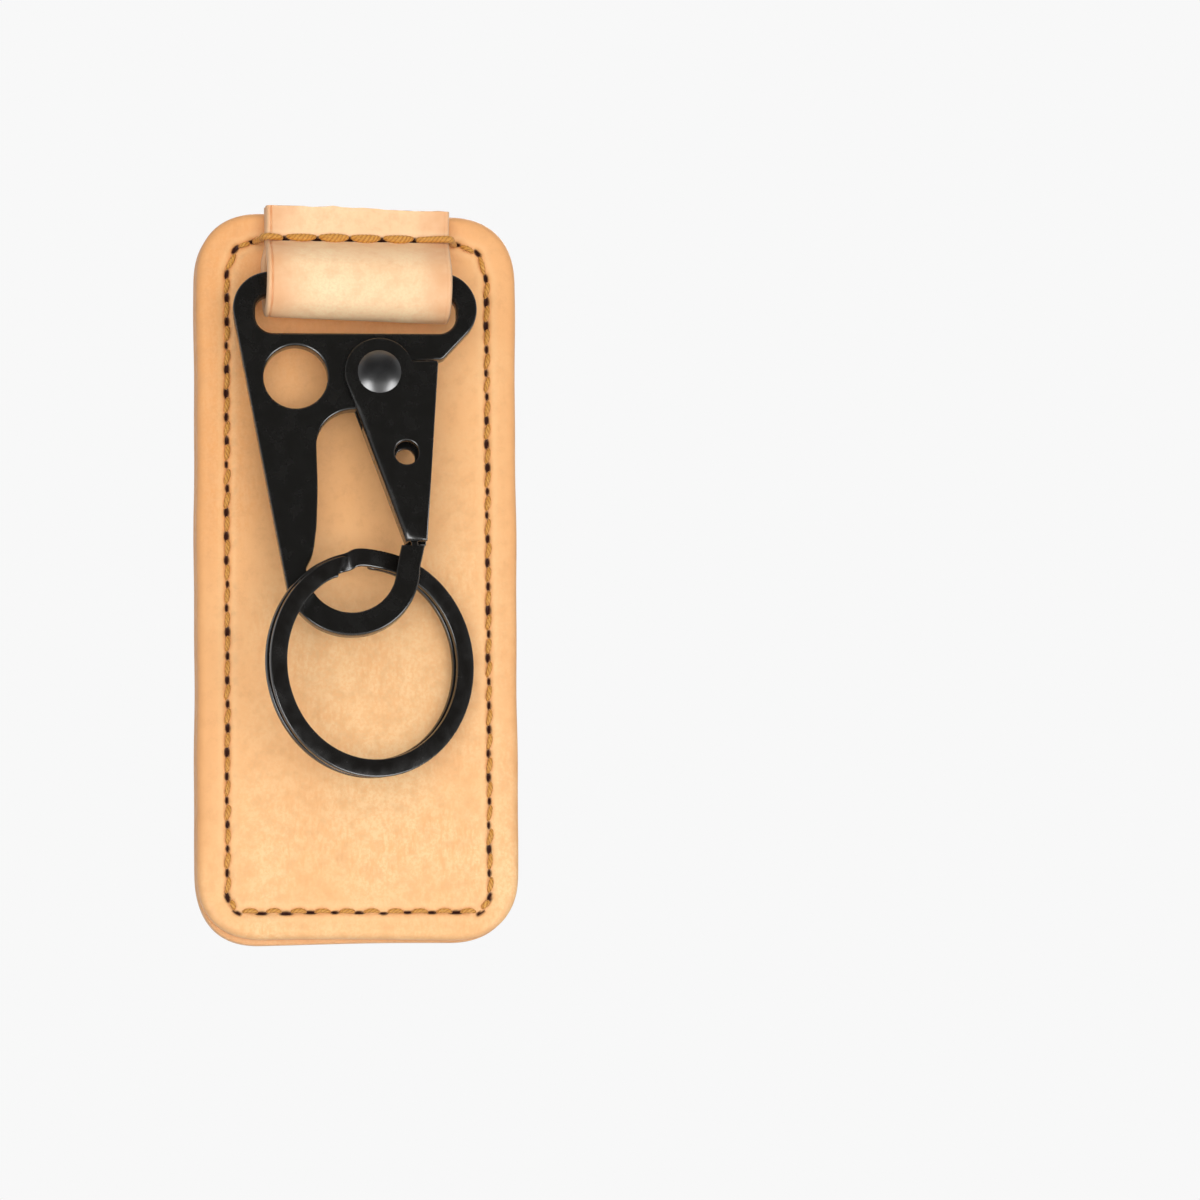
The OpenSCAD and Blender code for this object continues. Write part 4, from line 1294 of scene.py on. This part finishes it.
    def gate(self) -> bpy.types.Object:
        """Builds the gate: two sides joined by a rounded fold along the left edge."""
        touch = touch_angle(self.rivet, self.gate_r, self.tip, -1)
        top = self.beak_tip[1] - self.beak_h - self.beak_gap
        start = math.degrees(math.asin((top - self.rivet[1]) / self.gate_r))
        head = arc(self.rivet, self.gate_r, start, touch + 360, 64)
        shoulder = np.array([self.beak_tip[0] - 0.8, top - 0.35])
        side = list(smooth_path(np.array([head[-1], (head[-1] + self.tip) / 2, self.tip]), 1.2)[1:])
        loop = head + side + [self.tip + [self.gate_tip_w, 0], shoulder, shoulder + [-0.2, 0.35],
                              head[0] + [0.55, -0.02]]
        outer = anticlockwise(loop)
        unit = unit_rows(np.array([self.tip - head[-1]]))[0]
        normal = np.array([-unit[1], unit[0]])
        along, off = (outer - head[-1]) @ unit, np.abs((outer - head[-1]) @ normal)
        on_fold = (off < 0.05) & (along > -0.1)
        rim = self.gate_rim
        radius = np.where(on_fold, rim + (self.fold_r - rim) * smoothstep((along - 0.3) / 5.0), rim)
        cord = self.circle(self.cord_c, self.cord_d, 48)
        far_cord = self.circle((self.cord_c[0], self.cord_c[1] - 0.1), self.cord_d - 0.6, 48)
        inner, deep = self.gate_out - self.gate_sheet, self.fold_deep
        maker = MeshMaker()
        self.plates.plate(maker, outer, [cord], -self.gate_out, -inner, radius, 0.1, rim, deep)
        self.plates.plate(maker, outer, [far_cord], inner, self.gate_out, 0.1, radius * deep, 0.2)
        face_in = self.tip + normal * self.gate_sheet
        web = [p + unit * ((self.web_top - p[1]) / unit[1]) for p in (head[-1], face_in)]
        web = anticlockwise([web[0], self.tip, face_in, web[1]])
        self.plates.plate(maker, web, [], -inner - 0.35, inner + 0.35, 0.02, 0.02)
        return maker.build("gate_sheet", smooth_angle=50)

    def turned(self, name: str, profile: np.ndarray, count: int = 96) -> bpy.types.Object:
        """Turns a profile round the rivet's axis.

        Args:
            name: the piece's name.
            profile: radius and depth of each ring.
            count: points in a ring.

        Returns:
            The turned piece.
        """
        angles = np.linspace(0, 2 * math.pi, count, endpoint=False)
        rings = np.array([[[self.rivet[0] + r * math.cos(a), y, self.rivet[1] + r * math.sin(a)]
                           for a in angles] for r, y in profile])
        maker = MeshMaker()
        maker.loft(self.spot.place(rings))
        return maker.build(name, merge=0.002, smooth_angle=45)

    def rivet_piece(self) -> bpy.types.Object:
        """Builds the rivet with its domed head and flat tail."""
        head_r, h = self.head_d / 2, self.head_h
        dome = (head_r ** 2 + h ** 2) / (2 * h)
        face = self.gate_out + 0.03
        rise = math.asin(head_r / dome)
        shank_r, tail_r, tail, middle = self.rivet_d / 2, self.tail_r, face + self.tail_h, 0.004
        profile = [(middle, -face - h)]
        profile += [(dome * math.sin(a), -face - h + dome * (1 - math.cos(a)))
                    for a in np.linspace(0, rise, 26)[1:]]
        profile += [(head_r + 0.03, -face + 0.02), (head_r - 0.02, -face + 0.06), (shank_r, -face + 0.07),
                    (shank_r, face - 0.02), (tail_r, face), (tail_r, tail - 0.2),
                    (tail_r - 0.06, tail - 0.06), (tail_r - 0.2, tail), (0.9, tail), (0.7, tail - 0.1),
                    (middle, tail - 0.1)]
        return self.turned("rivet_dome", np.array(profile))

    def spring(self) -> bpy.types.Object:
        """Builds the torsion spring, with its short leg in the plate and its long one in the gate."""
        r, d, steps = self.spring_r, self.spring_wire, 109
        angles = np.radians(180 + np.linspace(0, 360 * self.spring_turns, steps))
        depth = -0.5 + d + self.spring_pitch * np.linspace(0, self.spring_turns, steps)
        x, z = self.rivet
        coil = np.column_stack([x + r * np.cos(angles), depth, z + r * np.sin(angles)])
        last = coil[-1]
        foot = last - [0, 0, self.spring_leg]
        legs = np.array([last - [0, 0, self.spring_leg * s] for s in (0.3, 0.6, 0.85)])
        hook = np.array([foot + [0, 0.05, 0.35], foot + [0, d, 0.05], foot + [0, self.gate_out - last[1], 0]])
        path = smooth_path(np.vstack([coil[0] + [0, 0, r * 0.4], coil, legs, hook]), 0.2)
        forward = heading(path)
        side = unit_rows(np.cross(forward, [0.3, 0.9, 0.31]))
        up = np.cross(side, forward)
        turn = np.linspace(0, 2 * math.pi, 12, endpoint=False)
        rings = np.array([p + d / 2 * (np.outer(np.cos(turn), s) + np.outer(np.sin(turn), u))
                          for p, s, u in zip(path, side, up)])
        maker = MeshMaker()
        maker.loft(self.spot.place(rings))
        return maker.build("gate_spring_wire")

    def build(self, wardrobe: Wardrobe) -> None:
        """Builds the four pieces, with the plate, the gate and the rivet on the hook's and the gate's bodies
        and the spring in place.
        """
        for piece, coat, body, node in ((self.frame(), Coat.HOOK, "hook", "hook_frame"),
                                        (self.gate(), Coat.HOOK, "gate", "gate_lever"),
                                        (self.rivet_piece(), Coat.RIVET, "hook", "gate_rivet")):
            wardrobe.dress(piece, coat)
            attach(piece, body)
            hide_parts(node)
        wire = wardrobe.dress(self.spring(), Coat.SPRING)
        start = self.spot.place([[self.rivet[0] + self.spring_r, 0, self.rivet[1] - 1.0]])[0]
        end = self.spot.place([[self.rivet[0] + self.spring_r, 0, self.rivet[1] - self.spring_leg + 0.6]])[0]
        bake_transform(wire)
        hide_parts("gate_spring")


@dataclass
class SplitRing:
    """The split ring: two flat turns of wire that change layer in a short jog."""

    centre: tuple[float, float, float] = (0.66, -7.12, 36.3)
    tilt: float = 20.0
    outside: float = 30.0
    wire_w: float = 2.4
    wire_t: float = 0.85
    turn_gap: float = 0.42
    jog: float = 6.5
    end_gap: float = 6.0
    lead: float = 2.0
    start: float = 18.0
    edge_r: float = 0.24
    hump: float = 0.34
    hump_at: float = 351.0
    hump_reach: float = 10.0
    tuck: float = 0.30
    tuck_reach: float = 8.0
    slant: float = 0.07
    slant_reach: float = 5.0

    def section(self) -> np.ndarray:
        """Returns the wire's section: a flat bar with rounded corners, as offsets along and across."""
        half_w, half_t, r = self.wire_w / 2, self.wire_t / 2, self.edge_r
        corners = [(half_w - r, half_t - r, 0), (r - half_w, half_t - r, 90),
                   (r - half_w, r - half_t, 180), (half_w - r, r - half_t, 270)]
        points = []
        for x, y, start in corners:
            points += arc((x, y), r, start, start + 90, 4)
        return np.array(points)

    def piece(self) -> bpy.types.Object:
        """Builds the ring."""
        rise, middle = self.wire_t + self.turn_gap, (self.outside - self.wire_w) / 2
        sweep = 720 - self.jog - 2 * self.end_gap
        angles = np.concatenate([np.arange(self.lead, 20.0, 0.5), np.linspace(20, sweep, 420)])
        layer = smoothstep((angles - 360 + self.jog) / self.jog)
        depth = rise * (layer - 0.5)
        section = self.section()
        rings = []
        for angle, y in zip(angles, depth):
            begun = angle - self.lead
            slim = 0.88 + 0.12 * min(1.0, begun / 1.2, (sweep - angle) / 1.2)
            bulge = self.hump * bell(angle - self.hump_at, self.hump_reach)
            bulge *= 1 - smoothstep((angle - self.hump_at - 1) / 5)
            bulge -= self.tuck * math.exp(-begun / self.tuck_reach)
            r = middle + section[:, 0] * slim + bulge
            slant = self.slant * section[:, 0] * math.exp(-begun / self.slant_reach)
            a = math.radians(angle + self.start) - slant
            rings.append(np.column_stack([-r * np.sin(a), y + section[:, 1] * slim, r * np.cos(a)]))
        turn = np.array(Matrix.Rotation(math.radians(self.tilt), 3, "Z"))
        maker = MeshMaker()
        maker.loft(on_pad(np.array(rings) @ turn.T + np.array(self.centre)))
        return maker.build("ring_wire", smooth_angle=45)

    def build(self, wardrobe: Wardrobe) -> None:
        """Builds the ring on its own body."""
        piece = wardrobe.dress(self.piece(), Coat.RING)
        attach(piece, "ring")
        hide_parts("split_ring")


@dataclass
class BeltClip:
    """The belt clip, one bent strip of black spring steel."""

    width: float = 22.5
    length: float = 56.5
    thickness: float = 1.0
    shift: float = -1.15
    top: float = 91.25
    belt_gap: float = 4.6
    leg: float = 25.0
    slit_drop: float = 5.2
    step_drop: float = 42.5
    lip_r: float = 3.2
    edge_r: float = 0.22

    def centre_line(self) -> np.ndarray:
        """Returns the strip's middle line from the hidden leg over the bend to the lip, in y and z."""
        t, gap, top = self.thickness, self.belt_gap, self.top
        bend_r = gap / 2
        bend = np.array([PAD_BACK + (t + gap) / 2, top - bend_r - t / 2])
        inner = PANEL_T + t / 2
        leg_y, leaf_y, heel_y = (PAD_BACK + t / 2 + out for out in (0.0, gap, 0.1))
        slit, low = top - self.slit_drop, top - self.step_drop
        points = [[inner, slit - self.leg], [inner, slit - 12], [inner, slit - 4.2],
                  [inner + 0.3, slit - 3.3], [leg_y - 0.3, slit - 0.5], [leg_y, slit + 0.4],
                  [leg_y, bend[1]]]
        points += [[bend[0] + bend_r * math.cos(a), bend[1] + bend_r * math.sin(a)]
                   for a in np.radians(np.linspace(180, 0, 13))[1:]]
        points += [[leaf_y, bend[1] - 12], [leaf_y, bend[1] - 24], [leaf_y, low + 2.2],
                   [leaf_y - 0.45, low + 0.2], [heel_y + 2.2, low - 1.9], [heel_y + 0.5, low - 3.2],
                   [heel_y + 0.14, low - 3.75], [heel_y + 0.42, low - 4.6],
                   [heel_y + 1.2, top - self.length + 5.0], [heel_y + 2.6, top - self.length]]
        return smooth_path(np.array(points), 0.35)

    def piece(self) -> bpy.types.Object:
        """Builds the strip as one sheet with rounded edges and lip corners."""
        path = self.centre_line()
        walked = walk(path)
        extra = walked[-1] - np.array([3.0, 2.6, 2.2, 1.8, 1.4, 1.1, 0.8, 0.5, 0.3, 0.15, 0.05, 0.0])
        stops = np.unique(np.round(np.concatenate([walked[walked[-1] - walked > 0.12], extra]), 4))
        path = np.column_stack([np.interp(stops, walked, path[:, k]) for k in range(2)])
        left = stops[-1] - stops
        forward = heading(path)
        out = np.column_stack([forward[:, 1], -forward[:, 0]])
        half_t, r = self.thickness / 2, self.edge_r
        bend = np.radians(np.linspace(90, 0, 4))
        corner, drawn_in = half_t - r + r * np.sin(bend), r - r * np.cos(bend)
        through, inset = np.concatenate([corner, -corner[::-1]]), np.concatenate([drawn_in, drawn_in[::-1]])
        rings = []
        for p, n, d in zip(path, out, left):
            cut = self.lip_r - math.sqrt(max(0.0, self.lip_r ** 2 - max(0.0, self.lip_r - d) ** 2))
            slim = 1.0 if d > 0.4 else 0.72 + 0.28 * math.sqrt(max(0.0, 1 - (1 - d / 0.4) ** 2))
            half = self.width / 2 - cut
            inner = np.linspace(-1, 1, 15)[1:-1] * (half - r - 0.3)
            x = np.concatenate([half - inset, inner[::-1], -(half - inset)[::-1], inner])
            side = np.concatenate([through, np.full(len(inner), -half_t), through[::-1],
                                   np.full(len(inner), half_t)]) * slim
            rings.append(np.column_stack([self.shift + x, p[0] + n[0] * side, p[1] + n[1] * side]))
        maker = MeshMaker()
        maker.loft(on_pad(rings))
        return maker.build("belt_clip_strip", smooth_angle=45)

    def build(self, wardrobe: Wardrobe) -> None:
        """Builds the clip in place as one sheet."""
        piece = wardrobe.dress(self.piece(), Coat.CLIP)
        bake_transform(piece)
        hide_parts("belt_clip_base", "belt_clip_leaf")


@dataclass
class Studio:
    """Camera, lamps, floor and backdrop."""

    seen_from: Pair = (-7.0, -6.0)
    distance: float = 0.8
    aim_right: float = 0.03219
    aim_up: float = -0.00333
    lens: float = 180.09
    roll: float = -0.46
    white: float = 0.939
    world_light: float = 0.43
    world_tint: Colour = (1.0, 0.975, 0.94)
    low_flag: float = 1.4
    high_flag: float = 0.5
    sensor: float = 36.0
    floor_z: float = -0.6

    def camera(self) -> None:
        """Sets the camera so that the pad's face stands where the photograph has it."""
        middle = Vector(on_pad([[0, 0, 48.75]])[0])
        az, el = (math.radians(a) for a in self.seen_from)
        back = Vector((math.sin(az) * math.cos(el), -math.cos(az) * math.cos(el), math.sin(el)))
        right, up = self.sides(-back)
        place = middle + back * self.distance
        forward = (middle + right * self.aim_right + up * self.aim_up - place).normalized()
        right, up = self.sides(forward)
        roll = math.radians(self.roll)
        side, top = right * math.cos(roll) + up * math.sin(roll), up * math.cos(roll) - right * math.sin(roll)
        data = bpy.data.cameras.new("camera")
        data.lens, data.sensor_width = self.lens, self.sensor
        data.clip_start, data.clip_end = 0.01, 20.0
        camera = bpy.data.objects.new("camera", data)
        bpy.context.scene.collection.objects.link(camera)
        turn = Matrix((side, top, -forward)).transposed().to_4x4()
        camera.matrix_world = Matrix.Translation(place) @ turn
        bpy.context.scene.camera = camera

    def sides(self, forward: Vector) -> tuple[Vector, Vector]:
        """Returns the directions right and up of someone who looks forward."""
        right = forward.cross(Vector((0, 0, 1))).normalized()
        return right, right.cross(forward)

    def lamp(self, name: str, place: Sequence[float], watts: float, size: Sequence[float],
             gloss: bool = True, diffuse: bool = True) -> None:
        """Adds a soft lamp that faces the pad.

        Args:
            name: its name.
            place: where it stands, in metres.
            watts: its power.
            size: its width and height, in metres.
            gloss: whether gloss shows it.
            diffuse: whether it lights dull surfaces.
        """
        data = bpy.data.lights.new(name, "AREA")
        data.shape, data.size, data.size_y, data.energy = "RECTANGLE", size[0], size[1], watts
        lamp = bpy.data.objects.new(name, data)
        bpy.context.scene.collection.objects.link(lamp)
        lamp.location = place
        lamp.rotation_euler = (Vector((0, 0, -0.04)) - lamp.location).to_track_quat("-Z", "Y").to_euler()
        lamp.visible_camera = False
        lamp.visible_glossy = gloss
        lamp.visible_diffuse = diffuse

    def seen_share(self, sheet: NodeSheet) -> bpy.types.NodeSocket:
        """Returns a socket that is 1 for rays from the camera, a mirror or glass, and 0 for light."""
        ray = sheet.node("ShaderNodeLightPath").outputs
        seen = sheet.maths("MAXIMUM", ray["Is Camera Ray"], ray["Is Glossy Ray"])
        return sheet.maths("MAXIMUM", seen, ray["Is Transmission Ray"])

    def backdrop(self) -> None:
        """Sets a plain pale world, which lights less than it shows."""
        world = bpy.data.worlds.new("backdrop")
        bpy.context.scene.world = world
        world.use_nodes = True
        sheet = NodeSheet(world.node_tree)
        sheet.tree.nodes.clear()
        light, shown = (sheet.fill(sheet.node("ShaderNodeBackground"), Color=colour, Strength=strength)
                        for colour, strength in ((self.world_tint, self.world_light),
                                                 ((1, 1, 1), self.white)))
        sheet.fill(sheet.node("ShaderNodeOutputWorld"), sheet.blend(self.seen_share(sheet), light, shown))

    def glow_card(self, piece: bpy.types.Object, sheet: FinishSheet, glow: object) -> None:
        """Dresses a stage piece with its sheet's material, and what it shows of a glow."""
        sheet.put(glow, sheet.tree.nodes["Material Output"].inputs["Surface"])
        piece.data.materials.append(sheet.material)

    def floor(self) -> None:
        """Lays a plain pale floor that keeps the shadow and fades into the backdrop."""
        maker = MeshMaker()
        radii, sides = np.array([0.001, 0.2, 0.4, 0.7, 1.0, 1.5, 2.2, 3.0]), 64
        turn = np.linspace(0, 2 * math.pi, sides, endpoint=False)
        rings = [np.column_stack([r * np.cos(turn), r * np.sin(turn), np.full(sides, self.floor_z)])
                 for r in radii]
        maker.loft(np.array(rings), caps=False, fade=np.repeat(smoothstep((radii - 0.35) / 1.2), sides))
        floor = maker.build("floor", merge=0.01)
        sheet = FinishSheet("floor_card")
        sheet.set(Base_Color=(0.86, 0.86, 0.86), Roughness=0.8, Specular_IOR_Level=0.1)
        glow = sheet.fill(sheet.node("ShaderNodeEmission"), Strength=self.white)
        share = sheet.maths("MULTIPLY", sheet.value("fade"), self.seen_share(sheet))
        self.glow_card(floor, sheet, sheet.blend(share, sheet.shader, glow))

    def flag(self) -> None:
        """Stands a curved dark card before the pad, which only shines back from gloss."""
        turns = np.radians(np.linspace(-104, 104, 53))
        rises = np.radians(np.concatenate([np.linspace(-80, -15, 16), np.linspace(-14, 104, 30)]))
        reach = np.where(np.degrees(rises) < -14.5, self.low_flag, self.high_flag)
        rings = np.array([[(far * math.sin(t) * math.cos(r), -far * math.cos(t) * math.cos(r),
                            far * math.sin(r)) for t in turns] for r, far in zip(rises, reach)])
        turns, rises = np.abs(np.degrees(turns))[None, :], np.degrees(rises)[:, None]
        aside = smoothstep((turns - 48) / 40) * (rises < 80)
        grey = 0.03 + 0.60 * np.maximum(smoothstep((rises - 45) / 35), aside)
        grey = grey + 0.28 * (1 - smoothstep((rises + 40) / 26))
        maker = MeshMaker()
        maker.loft(rings, closed=False, caps=False, grey=grey)
        card = maker.build("flag", merge=0.01)
        for ray in ("camera", "diffuse", "shadow", "transmission", "volume_scatter"):
            setattr(card, "visible_" + ray, False)
        sheet = FinishSheet("flag_card")
        sheet.tree.nodes.remove(sheet.shader)
        glow = sheet.fill(sheet.node("ShaderNodeEmission"), Strength=sheet.value("grey"))
        self.glow_card(card, sheet, glow.outputs[0])

    def build(self) -> None:
        """Sets up the whole studio."""
        self.camera()
        self.backdrop()
        self.floor()
        self.flag()
        self.lamp("low_left", (-0.40, -0.36, -0.40), 2.7, (0.30, 0.40), diffuse=False)
        self.lamp("low_right", (0.40, -0.36, -0.38), 2.6, (0.30, 0.40), diffuse=False)
        self.lamp("low_fill", (0.0, -0.7, -0.16), 2.9, (0.9, 0.4), gloss=False)
        self.lamp("front_fill", (0.0, -0.85, 0.26), 3.5, (1.2, 1.0), gloss=False)
        self.lamp("behind_fill", (0.3, 0.8, 0.4), 4.0, (0.5, 0.4))
        bpy.context.scene.view_settings.view_transform = "Standard"
        log.info("studio: camera %.0f mm at %.2f m", self.lens, self.distance)


def main() -> None:
    """Builds every piece."""
    logging.basicConfig(level=logging.INFO, format="%(name)s: %(message)s")
    wardrobe = Wardrobe()
    seam = Seam()
    LeatherPad(seam).build(wardrobe)
    StrapLoop(seam).build(wardrobe)
    Stitching(seam).build(wardrobe)
    SnapHook().build(wardrobe)
    SplitRing().build(wardrobe)
    BeltClip().build(wardrobe)
    Studio().build()


if __name__ == "__main__":
    main()
